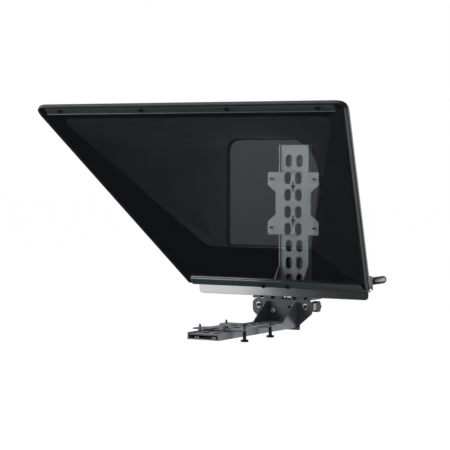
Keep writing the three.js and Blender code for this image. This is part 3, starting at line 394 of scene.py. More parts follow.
@dataclass(frozen=True)
class GlassFinish:
    """One face of the half-mirrored glass.

    Attributes:
        name: Material name.
        mirror: Share of the light that the face mirrors, as its Metallic value.
        tint: Colour of what passes through or is mirrored.
    """

    name: str
    mirror: float
    tint: tuple[float, float, float]

    def build(self) -> bpy.types.Material:
        """Makes the glass material, with faint streaks of wiping in its roughness.

        Returns:
            The node material.
        """
        material = bpy.data.materials.new(self.name)
        material.use_nodes = True
        material.diffuse_color = (*self.tint, 0.35)
        tree = material.node_tree
        shader = tree.nodes["Principled BSDF"]
        shader.inputs["Base Color"].default_value = (*self.tint, 1.0)
        shader.inputs["Metallic"].default_value = self.mirror
        shader.inputs["Transmission Weight"].default_value = 1.0
        shader.inputs["IOR"].default_value = 1.5
        grain = place_group(tree, GRAIN_GROUP, Scale=40.0, Stretch_X=0.3)
        haze = math_node(tree, "MULTIPLY", grain.outputs["Blotch"], GLASS_HAZE)
        tree.links.new(haze, shader.inputs["Roughness"])
        return material


MIRROR_FACE = GlassFinish("half_mirror_face", mirror=0.42, tint=(0.96, 0.98, 0.98))
CLEAR_FACE = GlassFinish("clear_face", mirror=0.0, tint=(0.62, 0.64, 0.65))


# ---- modelling helpers ----------------------------------------------------------------------


def select_only(piece: bpy.types.Object) -> None:
    """Deselects everything, then selects one object and makes it active."""
    bpy.ops.object.select_all(action="DESELECT")
    piece.select_set(True)
    bpy.context.view_layer.objects.active = piece


def fix_place(piece: bpy.types.Object) -> None:
    """Moves an object's place, turn and scale into its mesh."""
    select_only(piece)
    bpy.ops.object.transform_apply(location=True, rotation=True, scale=True)


def apply_modifier(piece: bpy.types.Object, kind: str, **settings: object) -> None:
    """Adds a modifier, sets it and applies it.

    Args:
        piece: The object.
        kind: The modifier's type.
        **settings: The modifier's properties.
    """
    select_only(piece)
    modifier = piece.modifiers.new(kind.lower(), kind)
    for key, value in settings.items():
        setattr(modifier, key, value)
    bpy.ops.object.modifier_apply(modifier=modifier.name)


def smooth(piece: bpy.types.Object, degrees: float = 35.0) -> None:
    """Shades a piece smooth where its faces meet at less than an angle."""
    select_only(piece)
    bpy.ops.object.shade_smooth_by_angle(angle=math.radians(degrees))


def pick_faces(piece: bpy.types.Object, test: Callable[[bpy.types.MeshPolygon], bool]) -> None:
    """Goes into edit mode with only the faces selected that pass a test.

    Args:
        piece: The object, in object mode.
        test: Says whether a face is wanted.
    """
    wanted = {face.index for face in piece.data.polygons if test(face)}
    select_only(piece)
    bpy.ops.object.mode_set(mode="EDIT")
    bpy.ops.mesh.select_mode(type="FACE")
    bpy.ops.mesh.select_all(action="DESELECT")
    work = bmesh.from_edit_mesh(piece.data)
    for face in work.faces:
        face.select_set(face.index in wanted)
    bmesh.update_edit_mesh(piece.data)


def leave_edit() -> None:
    """Goes back to object mode."""
    bpy.ops.object.mode_set(mode="OBJECT")


def merged_copy(node: str, name: str) -> bpy.types.Object:
    """Copies a frame node's shape as one merged mesh.

    Args:
        node: The frame node.
        name: The new piece's name.

    Returns:
        The copy, at the origin.
    """
    mesh = frame["nodes"][node].data.copy()
    mesh.materials.clear()
    if "sharp_face" in mesh.attributes:
        mesh.attributes.remove(mesh.attributes["sharp_face"])
    piece = bpy.data.objects.new(name, mesh)
    bpy.context.scene.collection.objects.link(piece)
    select_only(piece)
    bpy.ops.object.mode_set(mode="EDIT")
    bpy.ops.mesh.select_all(action="SELECT")
    bpy.ops.mesh.customdata_custom_splitnormals_clear()
    bpy.ops.mesh.remove_doubles(threshold=MERGE_DISTANCE)
    leave_edit()
    return piece


def refined(
    node: str, name: str, edge: float, segments: int = 2, angle: float = 32.0,
) -> bpy.types.Object:
    """Copies a frame node and rounds its edges.

    Args:
        node: The frame node.
        name: The new piece's name.
        edge: Width of the rounded edges, in metres.
        segments: Steps in each rounded edge.
        angle: Edges sharper than this are rounded, in degrees.

    Returns:
        The finished piece.
    """
    piece = merged_copy(node, name)
    apply_modifier(
        piece, "BEVEL", width=edge, segments=segments, limit_method="ANGLE",
        angle_limit=math.radians(angle), use_clamp_overlap=False, harden_normals=False,
    )
    smooth(piece, SMOOTH_BELOW)
    apply_modifier(piece, "WEIGHTED_NORMAL", mode="FACE_AREA", weight=100, keep_sharp=True)
    return piece


def rod_shape(
    name: str, radius: float, low: float, high: float, axis: Axis, at: Vector, sides: int,
) -> bpy.types.Object:
    """Adds a cylinder along an axis between two heights on it.

    Args:
        name: The piece's name.
        radius: Radius in metres.
        low: Lower end along the axis.
        high: Upper end along the axis.
        axis: The axis.
        at: A point on the axis, whose coordinate along it is taken as zero.
        sides: Number of sides.

    Returns:
        The cylinder, with its place still in the object.
    """
    direction = Vector([float(axis is one) for one in Axis])
    foot = Vector(at) - direction * Vector(at).dot(direction)
    bpy.ops.object.select_all(action="DESELECT")
    bpy.ops.mesh.primitive_cylinder_add(
        vertices=sides, radius=radius, depth=high - low,
        location=foot + direction * (low + high) / 2, rotation=axis.value,
    )
    piece = bpy.context.active_object
    piece.name = name
    return piece


def round_ends(piece: bpy.types.Object, edge: float) -> None:
    """Rounds the end edges of a cylinder and shades it smooth."""
    apply_modifier(
        piece, "BEVEL", width=edge, segments=2, limit_method="ANGLE", angle_limit=1.0,
    )
    smooth(piece)


def dress(
    piece: bpy.types.Object, finish: Finish, nodes: Sequence[str], body: str | None = None,
) -> None:
    """Gives a piece its finish, its body and the frame nodes that it stands for.

    Args:
        piece: The finished piece.
        finish: Its finish.
        nodes: Frame nodes it replaces, which may be none.
        body: The body it rides on, or None for that of its first node.
    """
    piece.data.materials.clear()
    piece.data.materials.append(finish.build())
    settle(piece, nodes, body)


def settle(
    piece: bpy.types.Object, nodes: Sequence[str], body: str | None = None,
) -> None:
    """Hangs a piece on its body and hides the frame nodes that it stands for.

    Args:
        piece: The finished piece.
        nodes: Frame nodes it replaces, which may be none.
        body: The body it rides on, or None for that of its first node.
    """
    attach(piece, body or NODE_BODY[nodes[0]])
    if nodes:
        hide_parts(*nodes)
    log.info("%s: %d faces", piece.name, len(piece.data.polygons))


def middle(node: str) -> Vector:
    """Middle of a frame node's box."""
    low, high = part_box(node)
    return (low + high) / 2


# ---- fasteners ------------------------------------------------------------------------------


@dataclass
class SocketScrew:
    """A screw with a round head and a hexagon socket, modelled along +Z and then turned into place.

    Attributes:
        head_radius: Radius of the head.
        head_height: Height of the head.
        shank_radius: Radius of the shank.
        shank: Length of the shank under the head.
        socket: Across-corners radius of the socket.
        sides: Sides of the head.
        crown: Width of the head's rounded edge, as a share of its radius.
        rise: Height of that edge, as a share of the head's height.
        sink: Depth of the socket, as a share of the head's height.
        tip: Slope of the shank's end, as a share of its radius.
    """

    head_radius: float
    head_height: float
    shank_radius: float
    shank: float
    socket: float
    sides: int = 30
    crown: float = 0.14
    rise: float = 0.16
    sink: float = 0.55
    tip: float = 0.25

    def build(self, name: str, seat: Vector, turn: Matrix) -> bpy.types.Object:
        """Models the screw.

        Args:
            name: The piece's name.
            seat: The point under the middle of the head.
            turn: Rotation that takes +Z, out of the head, to where it points.

        Returns:
            The screw, in place.
        """
        bpy.ops.object.select_all(action="DESELECT")
        bpy.ops.mesh.primitive_cylinder_add(
            vertices=self.sides, radius=self.head_radius, depth=self.head_height,
            location=(0, 0, self.head_height / 2),
        )
        piece = bpy.context.active_object
        piece.name = name
        fix_place(piece)
        pick_faces(piece, lambda face: face.normal.z > FACING)
        bpy.ops.mesh.inset(
            thickness=self.head_radius * self.crown, depth=self.head_height * self.rise,
        )
        bpy.ops.mesh.inset(thickness=self.head_radius * (1.0 - self.crown) - self.socket, depth=0)
        bpy.ops.mesh.inset(thickness=self.socket * 0.08, depth=-self.head_height * self.sink)
        leave_edit()
        pick_faces(piece, lambda face: face.normal.z < -FACING)
        bpy.ops.mesh.inset(thickness=self.head_radius - self.shank_radius, depth=0)
        bpy.ops.mesh.extrude_region_move(TRANSFORM_OT_translate={"value": (0, 0, -self.shank)})
        bpy.ops.mesh.inset(thickness=self.shank_radius * self.tip, depth=self.shank_radius * self.tip)
        leave_edit()
        piece.data.transform(Matrix.Translation(seat) @ turn.to_4x4())
        smooth(piece)
        return piece


# ---- sub-assemblies -----------------------------------------------------------------------------


@dataclass
class GlassTray:
    """Tilted tray with the mask, the half-mirrored glass and the two rails that clamp it.

    Attributes:
        rim_edge: Rounding of the moulded rim.
        rail_edge: Rounding of the top rail.
        fold_edge: Rounding of the bottom rail's folds.
        glass_edge: Width of the glass's bevelled edges.
        mask_below: How far under the glass's front the mask's faces lie at least.
        strip_from: How far to the right the rim's strip of painted sheen starts.
        strip_end: Length of rim without the painted sheen at its top and bottom.
        lip: Height of the top rail's lip over its screwed face.
        bead_radius: Radius of the top rail's trim bead.
        bead_up: The bead's height over the rail's lower edge.
        bead_edge: Rounding of the bead's ends.
        rivet_radius: Radius of the mask's rivet.
        rivet_height: Height of the rivet.
        rivet_x: The rivet's place across.
        rivet_up: The rivet's height up the slope from the tray's lower edge.
        rivet_below: How far under the glass's front the rivet sits.
        rail_screw: The screw in both rails.
        tilt: Rotation from the tray's own frame (X across, Y up the slope, Z out of the front).
    """

    rim_edge: float = 1.1 * MM
    rail_edge: float = 0.35 * MM
    fold_edge: float = 0.9 * MM
    glass_edge: float = 0.3 * MM
    mask_below: float = 3.6 * MM
    strip_from: float = 150 * MM
    strip_end: float = 30 * MM
    lip: float = 1.2 * MM
    bead_radius: float = 0.7 * MM
    bead_up: float = 1.5 * MM
    bead_edge: float = 0.3 * MM
    rivet_radius: float = 1.7 * MM
    rivet_height: float = 0.16 * MM
    rivet_x: float = 169.5 * MM
    rivet_up: float = 50 * MM
    rivet_below: float = 3.3 * MM
    rail_screw: SocketScrew = field(
        default_factory=lambda: SocketScrew(5.2 * MM, 2.0 * MM, 1.9 * MM, 9 * MM, 2.4 * MM),
    )
    tilt: Matrix = field(default_factory=lambda: Matrix.Rotation(math.radians(135.0), 3, "X"))

    @property
    def front(self) -> Vector:
        """Direction out of the tray's front."""
        return self.tilt @ Vector((0, 0, 1))

    @property
    def slope(self) -> Vector:
        """Direction up the tray's slope."""
        return self.tilt @ Vector((0, 1, 0))

    def build(self) -> None:
        """Builds and dresses the tray, glass, rails, screws and rivet."""
        self.tray()
        self.glass()
        dress(refined("top_rail", "top_rail_strip", self.rail_edge), RAIL_GREY, ["top_rail"])
        self.bottom_rail()
        self.rail_beads()
        self.screws()
        self.rivet()

    def tray(self) -> None:
        """Rounds the moulded tray, with a duller mask and a lighter strip of painted sheen on its
        right rim.
        """
        piece = refined("glass_tray", "moulded_tray", self.rim_edge, 3)
        for finish in (MOULDED_BLACK, MASK_BLACK, RIM_SIDE, RIM_PAINTED_SHEEN):
            piece.data.materials.append(finish.build())
        floor = self.front_height("beam_splitter_glass") - self.mask_below
        heights = [vertex.co.dot(self.slope) for vertex in piece.data.vertices]
        low, high = min(heights) + self.strip_end, max(heights) - self.strip_end
        for face in piece.data.polygons:
            facing = face.normal.dot(self.front) > FACING
            if facing and face.center.dot(self.front) < floor:
                face.material_index = 1
            elif abs(face.normal.x) > 0.8 and face.normal.x * face.center.x > 0:
                face.material_index = 2
            # Painted sheen on the right rim's front faces.
            elif facing and face.center.x > self.strip_from:
                if low < face.center.dot(self.slope) < high:
                    face.material_index = 3
        settle(piece, ["glass_tray"])

    def bottom_rail(self) -> None:
        """Rounds the folded bottom rail, with a bare upper edge."""
        piece = refined("bottom_rail", "bottom_rail_strip", self.fold_edge, 3)
        piece.data.materials.append(RAIL_GREY.build())
        piece.data.materials.append(PLATE_SATIN.build())
        for face in piece.data.polygons:
            face.material_index = 1 if face.normal.dot(self.slope) > FACING else 0
        settle(piece, ["bottom_rail"])

    def front_height(self, node: str) -> float:
        """Distance of a node's front face along the tray's own Z."""
        return max(vertex.co.dot(self.front) for vertex in frame["nodes"][node].data.vertices)

    def low_edge(self, node: str) -> float:
        """Height of a node's lower edge along the tray's own Y."""
        return min(vertex.co.dot(self.slope) for vertex in frame["nodes"][node].data.vertices)

    def glass(self) -> None:
        """Makes the glass, with the half mirror on the face towards the talent."""
        piece = merged_copy("beam_splitter_glass", "beam_splitter")
        apply_modifier(
            piece, "BEVEL", width=self.glass_edge, segments=1, limit_method="ANGLE",
            angle_limit=math.radians(60), use_clamp_overlap=False,
        )
        piece.data.materials.append(MIRROR_FACE.build())
        piece.data.materials.append(CLEAR_FACE.build())
        for face in piece.data.polygons:
            face.material_index = 0 if face.normal.dot(self.front) > SQUARE_ON else 1
            face.use_smooth = False
        settle(piece, ["beam_splitter_glass"])

    def screws(self) -> None:
        """Puts a socket screw at each rail screw."""
        names = [f"top_rail_screw_{number}" for number in range(1, 5)]
        names += [f"bottom_rail_screw_{number}" for number in (1, 2)]
        for node in names:
            if node.startswith("top"):
                face = self.front_height("top_rail") - self.lip
            else:
                face = self.front_height("bottom_rail")
            centre = middle(node)
            seat = centre + self.front * (face + SEAT_GAP - centre.dot(self.front))
            dress(self.rail_screw.build(node + "_socket", seat, self.tilt), SCREW_BLACK, [node])

    def rail_beads(self) -> None:
        """Adds the thin trim bead along the lower edge of the top rail."""
        low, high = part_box("top_rail")
        out = self.front_height("top_rail") + 0.05 * MM
        at = self.front * out + self.slope * (self.low_edge("top_rail") + self.bead_up)
        bead = rod_shape("top_rail_bead", self.bead_radius, low.x + MM, high.x - MM, Axis.X, at, 12)
        fix_place(bead)
        round_ends(bead, self.bead_edge)
        dress(bead, RAIL_GREY, [], "support")

    def rivet(self) -> None:
        """Adds the small bright rivet low on the mask."""
        floor = self.front_height("beam_splitter_glass") - self.rivet_below
        up = self.low_edge("glass_tray") + self.rivet_up
        seat = self.front * floor + self.slope * up + Vector((self.rivet_x, 0, 0))
        bpy.ops.object.select_all(action="DESELECT")
        bpy.ops.mesh.primitive_cylinder_add(
            vertices=24, radius=self.rivet_radius, depth=self.rivet_height,
        )
        rivet = bpy.context.active_object
        rivet.name = "mask_rivet"
        pick_faces(rivet, lambda face: face.normal.z > FACING)
        bpy.ops.mesh.inset(thickness=self.rivet_radius * 0.35, depth=0.05 * MM)
        leave_edit()
        centre = seat + self.front * self.rivet_height / 2
        rivet.data.transform(Matrix.Translation(centre) @ self.tilt.to_4x4())
        smooth(rivet)
        dress(rivet, BRIGHT_STEEL, [], "support")


@dataclass
class Hood:
    """Wedge-shaped hood, its rear opening frame and the foam seal.

    Attributes:
        shell_edge: Rounding of the hood's edges.
        frame_edge: Rounding of the opening frame.
        seal_edge: Rounding of the soft seal.
        frame_screw: The screw that holds the opening frame.
    """

    shell_edge: float = 0.6 * MM
    frame_edge: float = 1.0 * MM
    seal_edge: float = 1.2 * MM
    frame_screw: SocketScrew = field(
        default_factory=lambda: SocketScrew(2.7 * MM, 1.6 * MM, 0.9 * MM, 0.2 * MM, 1.3 * MM, 24),
    )

    def build(self) -> None:
        """Builds and dresses the hood."""
        shell = refined("hood_shell", "hood_moulding", self.shell_edge)
        shell.data.materials.append(MOULDED_BLACK.build())
        shell.data.materials.append(HOOD_INSIDE_PAINTED_LIGHT.build())
        low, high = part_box("rear_opening_frame")
        # Painted light: the inner faces get the lighter finish that stands for light falling into the
        # hood.
        for face in shell.data.polygons:
            inward = Vector((0, face.center.y, (low.z + high.z) / 2)) - face.center
            inner = inward.dot(face.normal) > 0 and abs(face.normal.y) < FACING
            face.material_index = 1 if inner else 0
        settle(shell, ["hood_shell"])
        ring = refined("rear_opening_frame", "opening_frame", self.frame_edge, 3)
        dress(ring, MOULDED_BLACK, ["rear_opening_frame"])
        dress(refined("rear_seal", "foam_seal", self.seal_edge, 3), SEAL_FOAM, ["rear_seal"])
        turn = Matrix.Rotation(math.radians(-90.0), 3, "X")
        for number in range(1, 5):
            node = f"rear_frame_screw_{number}"
            low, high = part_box(node)
            seat = Vector(((low.x + high.x) / 2, low.y, (low.z + high.z) / 2))
            dress(self.frame_screw.build(node + "_socket", seat, turn), BLACK_STEEL, [node])


@dataclass
class CameraSide:
    """Corner brackets with their rods, and the camera plate with its screw.

    Attributes:
        plate_edge: Rounding of the bent sheet.
        knob_edge: Rounding of the camera screw's knurled head.
        rod_edge: Rounding of a rod's ends.
        cap_edge: Rounding of a rod's cap.
        screw: The countersunk screw inside each ear.
    """

    plate_edge: float = 0.5 * MM
    knob_edge: float = 0.3 * MM
    rod_edge: float = 0.5 * MM
    cap_edge: float = 3.2 * MM
    screw: SocketScrew = field(
        default_factory=lambda: SocketScrew(2.9 * MM, 1.7 * MM, 1.2 * MM, 0.1 * MM, 1.3 * MM, 24),
    )

    def build(self) -> None:
        """Builds and dresses the brackets, rods, camera plate and screws."""
        for side, sign in (("left", -1), ("right", 1)):
            node = f"corner_bracket_{side}"
            dress(refined(node, f"bent_bracket_{side}", self.plate_edge), BRACKET_GREY, [node])
            self.rod(side)
            self.ear_screw(side, sign)
        plate = refined("camera_plate", "bent_camera_plate", self.plate_edge)
        dress(plate, PLATE_SATIN, ["camera_plate"])
        knob = refined("camera_screw", "camera_thumb_screw", self.knob_edge)
        dress(knob, BRIGHT_STEEL, ["camera_screw"])

    def rod(self, side: str) -> None:
        """Makes one rod with its dark rounded cap."""
        low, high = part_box(f"rod_{side}")
        at = Vector(((low.x + high.x) / 2, 0, (low.z + high.z) / 2))
        bar = rod_shape(f"steel_rod_{side}", (high.x - low.x) / 2, low.y, high.y, Axis.Y, at, 48)
        fix_place(bar)
        round_ends(bar, self.rod_edge)
        dress(bar, BRUSHED_ROD, [f"rod_{side}"])
        low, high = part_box(f"rod_cap_{side}")
        cap = rod_shape(f"rod_end_{side}", (high.x - low.x) / 2, low.y, high.y, Axis.Y, at, 48)
        fix_place(cap)
        pick_faces(cap, lambda face: face.normal.y > FACING)
        bpy.ops.mesh.bevel(offset=self.cap_edge, segments=6, affect="EDGES")
        leave_edit()
        smooth(cap, 50.0)
        dress(cap, BLACK_STEEL, [f"rod_cap_{side}"])

    def ear_screw(self, side: str, sign: int) -> None:
        """Makes the countersunk screw inside one end ear."""
        node = f"ear_screw_{side}"
        low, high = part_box(node)
        seat = Vector((high.x if sign > 0 else low.x, (low.y + high.y) / 2, (low.z + high.z) / 2))
        turn = Matrix.Rotation(math.radians(-90.0 * sign), 3, "Y")
        dress(self.screw.build(node + "_socket", seat, turn), BLACK_STEEL, [node])


@dataclass
class Support:
    """Slotted rail, cross plate, mount block, ring bolts, pivot screw and clamp knob.

    Attributes:
        edge: Rounding of the cut edges.
        washer_edge: Rounding of the ring washers.
        knob_edge: Rounding of the fluted knob.
        pivot_edge: Rounding of the pivot screw.
        bolt_head: Radius of a ring bolt's head.
        bolt_shank: Radius of its shank, and the height of its head.
        bolt_socket: Radius of its socket.
        bare_from: Where the cross plate's bare side faces start, as a share of its width.
    """

    edge: float = 0.5 * MM
    washer_edge: float = 0.2 * MM
    knob_edge: float = 0.8 * MM
    pivot_edge: float = 0.25 * MM
    bolt_head: float = 3.9 * MM
    bolt_shank: float = 2.9 * MM
    bolt_socket: float = 2.1 * MM
    bare_from: float = 0.4

    def build(self) -> None:
        """Builds and dresses the support."""
        for node, name in (("slotted_rail", "notched_rail"), ("mount_block", "machined_block")):
            dress(refined(node, name, self.edge), SUPPORT_DARK, [node])
        self.cross_plate()
        out = Matrix.Rotation(math.radians(90.0), 3, "X")
        for side in ("left", "right"):
            washer = refined(f"ring_washer_{side}", f"plated_washer_{side}", self.washer_edge)
            dress(washer, BRIGHT_STEEL, [f"ring_washer_{side}"])
            low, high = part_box(f"ring_bolt_{side}")
            washer_low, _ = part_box(f"ring_washer_{side}")
            seat = Vector(((low.x + high.x) / 2, washer_low.y - SEAT_GAP, (low.z + high.z) / 2))
            bolt = SocketScrew(
                self.bolt_head, self.bolt_shank, self.bolt_shank, high.y - seat.y, self.bolt_socket,
            )
            dress(bolt.build(f"socket_bolt_{side}", seat, out), BLACK_STEEL, [f"ring_bolt_{side}"])
        self.pivot()
        knob = refined("clamp_knob", "fluted_knob", self.knob_edge, 3, 50.0)
        dress(knob, KNOB_BLACK, ["clamp_knob"])

    def cross_plate(self) -> None:
        """Rounds the bent cross plate and leaves its outer side faces bare."""
        piece = refined("cross_plate", "bent_cross_plate", self.edge)
        piece.data.materials.append(SUPPORT_DARK.build())
        piece.data.materials.append(PLATE_SATIN.build())
        low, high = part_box("cross_plate")
        reach = (high.x - low.x) * self.bare_from
        for face in piece.data.polygons:
            outer = abs(face.normal.x) > SQUARE_ON and abs(face.center.x) > reach
            face.material_index = 1 if outer else 0
        settle(piece, ["cross_plate"])

    def pivot(self) -> None:
        """Rounds and dresses the bright pivot screw."""
        piece = refined("pivot_screw", "slotted_pivot_screw", self.pivot_edge)
        dress(piece, BRIGHT_STEEL, ["pivot_screw"])


@dataclass
class DisplaySide:
    """Monitor arm, display plate and their fasteners.

    Attributes:
        edge: Rounding of the cut sheets.
        small_edge: Rounding of the cover strip, nuts and spacers.
        knurls: Ridges round a thumb screw.
        disc_share: Radius of its disc without the ridges, as a share of the whole.
        ridge_share: Height of a ridge, as a share of the radius.
        dish_share: Width of the flat rim round its dished under face, as a share.
        dish: Depth of that dish.
        shank_radius: Radius of its shank.
    """

    edge: float = 0.4 * MM
    small_edge: float = 0.3 * MM
    knurls: int = 36
    disc_share: float = 0.96
    ridge_share: float = 0.035
    dish_share: float = 0.18
    dish: float = 0.5 * MM
    shank_radius: float = 2.0 * MM

    def build(self) -> None:
        """Builds and dresses the arm and the display plate."""
        self.paint_light_by_facing("monitor_arm", "folded_arm")
        dress(refined("arm_cover", "arm_cover_strip", self.small_edge), ARM_POWDER, ["arm_cover"])
        self.paint_light_by_facing("vesa_plate", "display_plate_sheet")
        for number in range(1, 5):
            self.stud(number)
            self.spacer(number)
            self.thumb_screw(number)
        for number in (1, 2):
            node = f"vesa_screw_{number}"
            _, plate_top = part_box("vesa_plate")
            low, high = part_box(node)
            seat = Vector(((low.x + high.x) / 2, (low.y + high.y) / 2, plate_top.z + SEAT_GAP))
            screw = SocketScrew(
                head_radius=3.6 * MM, head_height=2.0 * MM, shank_radius=1.95 * MM,
                shank=seat.z - low.z, socket=1.7 * MM,
            )
            dress(screw.build(node + "_socket", seat, Matrix.Identity(3)), BLACK_STEEL, [node])
            nut = refined(f"vesa_nut_{number}", f"hexagon_nut_{number}", self.small_edge)
            dress(nut, BRIGHT_STEEL, [f"vesa_nut_{number}"])

    def paint_light_by_facing(self, node: str, name: str) -> None:
        """Dresses a sheet with painted light on its top faces and painted shade on its fronts."""
        piece = refined(node, name, self.edge)
        for finish in (ARM_POWDER, ARM_TOP_PAINTED_LIGHT, SUPPORT_DARK):
            piece.data.materials.append(finish.build())
        # Painted light: upper faces lighter as if lit from above; faces towards the talent darker, as
        # painted shade.
        for face in piece.data.polygons:
            if face.normal.z > FACING:
                face.material_index = 1
            elif face.normal.y < -FACING:
                face.material_index = 2
        settle(piece, [node])

    def stud(self, number: int) -> None:
        """Makes one bright stud end at the arm's open end."""
        node = f"arm_stud_{number}"
        low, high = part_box(node)
        seat = Vector(((low.x + high.x) / 2, (low.y + high.y) / 2, low.z))
        radius, height = (high.x - low.x) / 2, (high.z - low.z) * 0.86
        screw = SocketScrew(radius, height, 1.0 * MM, 0.1 * MM, 0.9 * MM, 20)
        dress(screw.build(node + "_end", seat, Matrix.Identity(3)), BRIGHT_STEEL, [node])

    def spacer(self, number: int) -> None:
        """Makes one spacer tube."""
        node = f"spacer_{number}"
        dress(refined(node, f"turned_spacer_{number}", self.small_edge), BLACK_STEEL, [node])

    def thumb_screw(self, number: int) -> None:
        """Makes one thumb screw: a knurled disc, a thin collar and a long shank."""
        node = f"thumb_screw_{number}"
        low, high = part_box(node)
        spacer_low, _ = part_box(f"spacer_{number}")
        at = Vector(((low.x + high.x) / 2, (low.y + high.y) / 2, 0))
        top = spacer_low.z - 0.3 * MM
        radius = (high.x - low.x) / 2
        disc = rod_shape(
            f"knurled_thumb_screw_{number}", radius * self.disc_share, low.z, top, Axis.Z, at,
            self.knurls * 2,
        )
        fix_place(disc)
        pick_faces(disc, lambda face: face.normal.z < -FACING)
        bpy.ops.mesh.inset(
            thickness=radius * self.dish_share, depth=-self.dish, use_individual=False,
        )
        leave_edit()
        pick_faces(disc, lambda face: face.normal.z > FACING)
        bpy.ops.mesh.inset(thickness=radius * 0.1, depth=0, use_individual=False)
        bpy.ops.mesh.inset(thickness=radius * 0.86 - self.shank_radius, depth=0, use_individual=False)
        bpy.ops.mesh.extrude_region_move(TRANSFORM_OT_translate={"value": (0, 0, high.z - top)})
        bpy.ops.mesh.inset(thickness=0.5 * MM, depth=0.0, use_individual=False)
        leave_edit()

        def ridge(face: bpy.types.MeshPolygon) -> bool:
            """Says whether a face is every second one of the rim."""
            away = face.center - at
            if abs(face.normal.z) > 0.5 or Vector((away.x, away.y)).length < radius * 0.9:
                return False
            angle = math.atan2(away.y, away.x) / (2 * math.pi)
            return int(round((angle % 1.0) * self.knurls * 2 - 0.5)) % 2 == 0

        pick_faces(disc, ridge)
        bpy.ops.mesh.inset(
            thickness=0.1 * MM, depth=radius * self.ridge_share, use_individual=True,
        )
        leave_edit()
        smooth(disc, 30.0)
        dress(disc, BLACK_STEEL, [node])


# ---- studio -----------------------------------------------------------------------------------


@dataclass(frozen=True)
class SoftBox:
    """A rectangular soft box.

    Attributes:
        name: The light's name.
        at: Its place.
        width: Its width.
        height: Its height.
        power: Its power in watts.
        aim: The point that it faces.
    """

    name: str
    at: tuple[float, float, float]
    width: float
    height: float
    power: float
    aim: tuple[float, float, float] = (0.0, -0.1, 0.1)

    def hang(self) -> None:
        """Adds the light to the scene."""
        data = bpy.data.lights.new(self.name, "AREA")
        data.shape = "RECTANGLE"
        data.size = self.width
        data.size_y = self.height
        data.energy = self.power
        light = bpy.data.objects.new(self.name, data)
        light.location = self.at
        facing = Vector(self.aim) - Vector(self.at)
        light.rotation_euler = facing.to_track_quat("-Z", "Y").to_euler()
        bpy.context.scene.collection.objects.link(light)


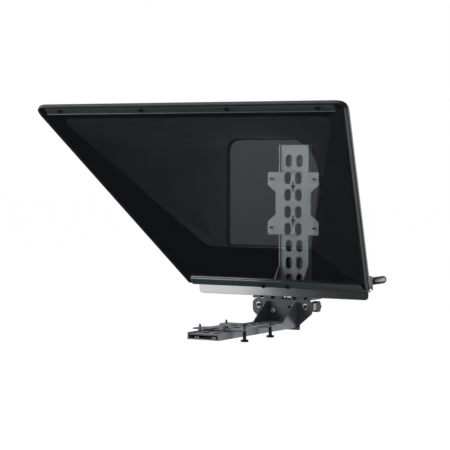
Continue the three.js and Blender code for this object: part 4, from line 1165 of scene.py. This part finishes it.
@dataclass
class Studio:
    """Floor, lights, world and camera.

    Attributes:
        azimuth: Camera's turn round the object, in degrees.
        elevation: Camera's height above the horizon, in degrees.
        eye: Camera's place from the frame's origin.
        lens: Focal length on a 36 mm sensor.
        floor_drop: How far the floor lies under the object.
        floor_size: Length of the floor's sides.
        dim_low: What mirrors see below the horizon.
        dim_high: What mirrors see above it.
        soft_boxes: The lights.
    """

    azimuth: float = 30.795
    elevation: float = 2.367
    eye: tuple[float, float, float] = (1.8293, -3.3203, 0.3311)
    lens: float = 148.5
    floor_drop: float = 0.62
    floor_size: float = 60.0
    dim_low: tuple[float, float, float, float] = (0.0105, 0.011, 0.0135, 1.0)
    dim_high: tuple[float, float, float, float] = (0.11, 0.115, 0.12, 1.0)
    soft_boxes: tuple[SoftBox, ...] = (
        SoftBox("key_left", (-3.3, -3.06, 0.15), 2.8, 2.4, 112.0),
        SoftBox("side_left", (-2.4, -0.5, 1.15), 1.1, 1.1, 50.0, (0.0, -0.2, 0.0)),
        SoftBox("top", (-0.9, -0.6, 2.4), 2.2, 1.6, 30.0),
        SoftBox("right_back", (1.3, 3.0, 0.0), 2.4, 2.0, 24.0),
    )

    def build(self) -> None:
        """Sets up the whole studio."""
        self.camera()
        self.floor()
        self.world()
        for soft_box in self.soft_boxes:
            soft_box.hang()
        bpy.context.scene.view_settings.view_transform = "Standard"

    def camera(self) -> None:
        """Makes the camera."""
        data = bpy.data.cameras.new("studio_camera")
        data.lens = self.lens
        data.sensor_width = 36.0
        data.clip_end = 60.0
        camera = bpy.data.objects.new("studio_camera", data)
        turn, rise = math.radians(self.azimuth), math.radians(self.elevation)
        camera.location = self.eye
        camera.rotation_euler = (math.pi / 2 - rise, 0.0, turn)
        bpy.context.scene.collection.objects.link(camera)
        bpy.context.scene.camera = camera

    def floor(self) -> None:
        """Lays a wide pale floor well below the object, which is held at its mount."""
        bpy.ops.object.select_all(action="DESELECT")
        level = CAD_BOX[0].z - self.floor_drop
        bpy.ops.mesh.primitive_plane_add(size=self.floor_size, location=(0, 0, level))
        floor = bpy.context.active_object
        floor.name = "studio_floor"
        material = bpy.data.materials.new("pale_floor")
        material.use_nodes = True
        tree = material.node_tree
        shader = tree.nodes["Principled BSDF"]
        shader.inputs["Roughness"].default_value = 0.9
        shader.inputs["Specular IOR Level"].default_value = 0.0
        noise = tree.nodes.new("ShaderNodeTexNoise")
        noise.inputs["Scale"].default_value = 0.6
        mix = tree.nodes.new("ShaderNodeMix")
        mix.data_type = "RGBA"
        mix.inputs["A"].default_value = (0.985, 0.985, 0.985, 1.0)
        mix.inputs["B"].default_value = (1.0, 1.0, 1.0, 1.0)
        tree.links.new(noise.outputs["Fac"], mix.inputs["Factor"])
        tree.links.new(mix.outputs["Result"], shader.inputs["Base Color"])
        floor.data.materials.append(material)
        floor.visible_glossy = False
        floor.visible_transmission = False

    def world(self) -> None:
        """Makes a white surround that mirrors and glass see as a dim studio."""
        world = bpy.data.worlds.new("studio_world")
        bpy.context.scene.world = world
        world.use_nodes = True
        tree = world.node_tree
        background = tree.nodes["Background"]
        path = tree.nodes.new("ShaderNodeLightPath")
        mirrored = math_node(
            tree, "MAXIMUM", path.outputs["Is Glossy Ray"], path.outputs["Is Transmission Ray"],
        )
        coordinates = tree.nodes.new("ShaderNodeTexCoord")
        split = tree.nodes.new("ShaderNodeSeparateXYZ")
        tree.links.new(coordinates.outputs["Generated"], split.inputs[0])
        ramp = tree.nodes.new("ShaderNodeValToRGB")
        ramp.color_ramp.elements[0].position = 0.42
        ramp.color_ramp.elements[0].color = self.dim_low
        ramp.color_ramp.elements[1].position = 0.5
        ramp.color_ramp.elements[1].color = self.dim_high
        height = math_node(tree, "MULTIPLY_ADD", split.outputs["Z"], 0.5)
        height.node.inputs[2].default_value = 0.5
        tree.links.new(height, ramp.inputs["Fac"])
        choose = tree.nodes.new("ShaderNodeMix")
        choose.data_type = "RGBA"
        choose.inputs["A"].default_value = (1.0, 1.0, 1.0, 1.0)
        first = math_node(tree, "LESS_THAN", path.outputs["Diffuse Depth"], 0.5)
        tree.links.new(math_node(tree, "MULTIPLY", mirrored, first), choose.inputs["Factor"])
        tree.links.new(ramp.outputs["Color"], choose.inputs["B"])
        tree.links.new(choose.outputs["Result"], background.inputs["Color"])
        background.inputs["Strength"].default_value = 1.0


def main() -> None:
    """Builds the object and its studio."""
    logging.basicConfig(level=logging.INFO, format="%(name)s %(message)s")
    Studio().build()
    for part in (GlassTray(), Hood(), CameraSide(), Support(), DisplaySide()):
        part.build()


if __name__ == "__main__":
    main()
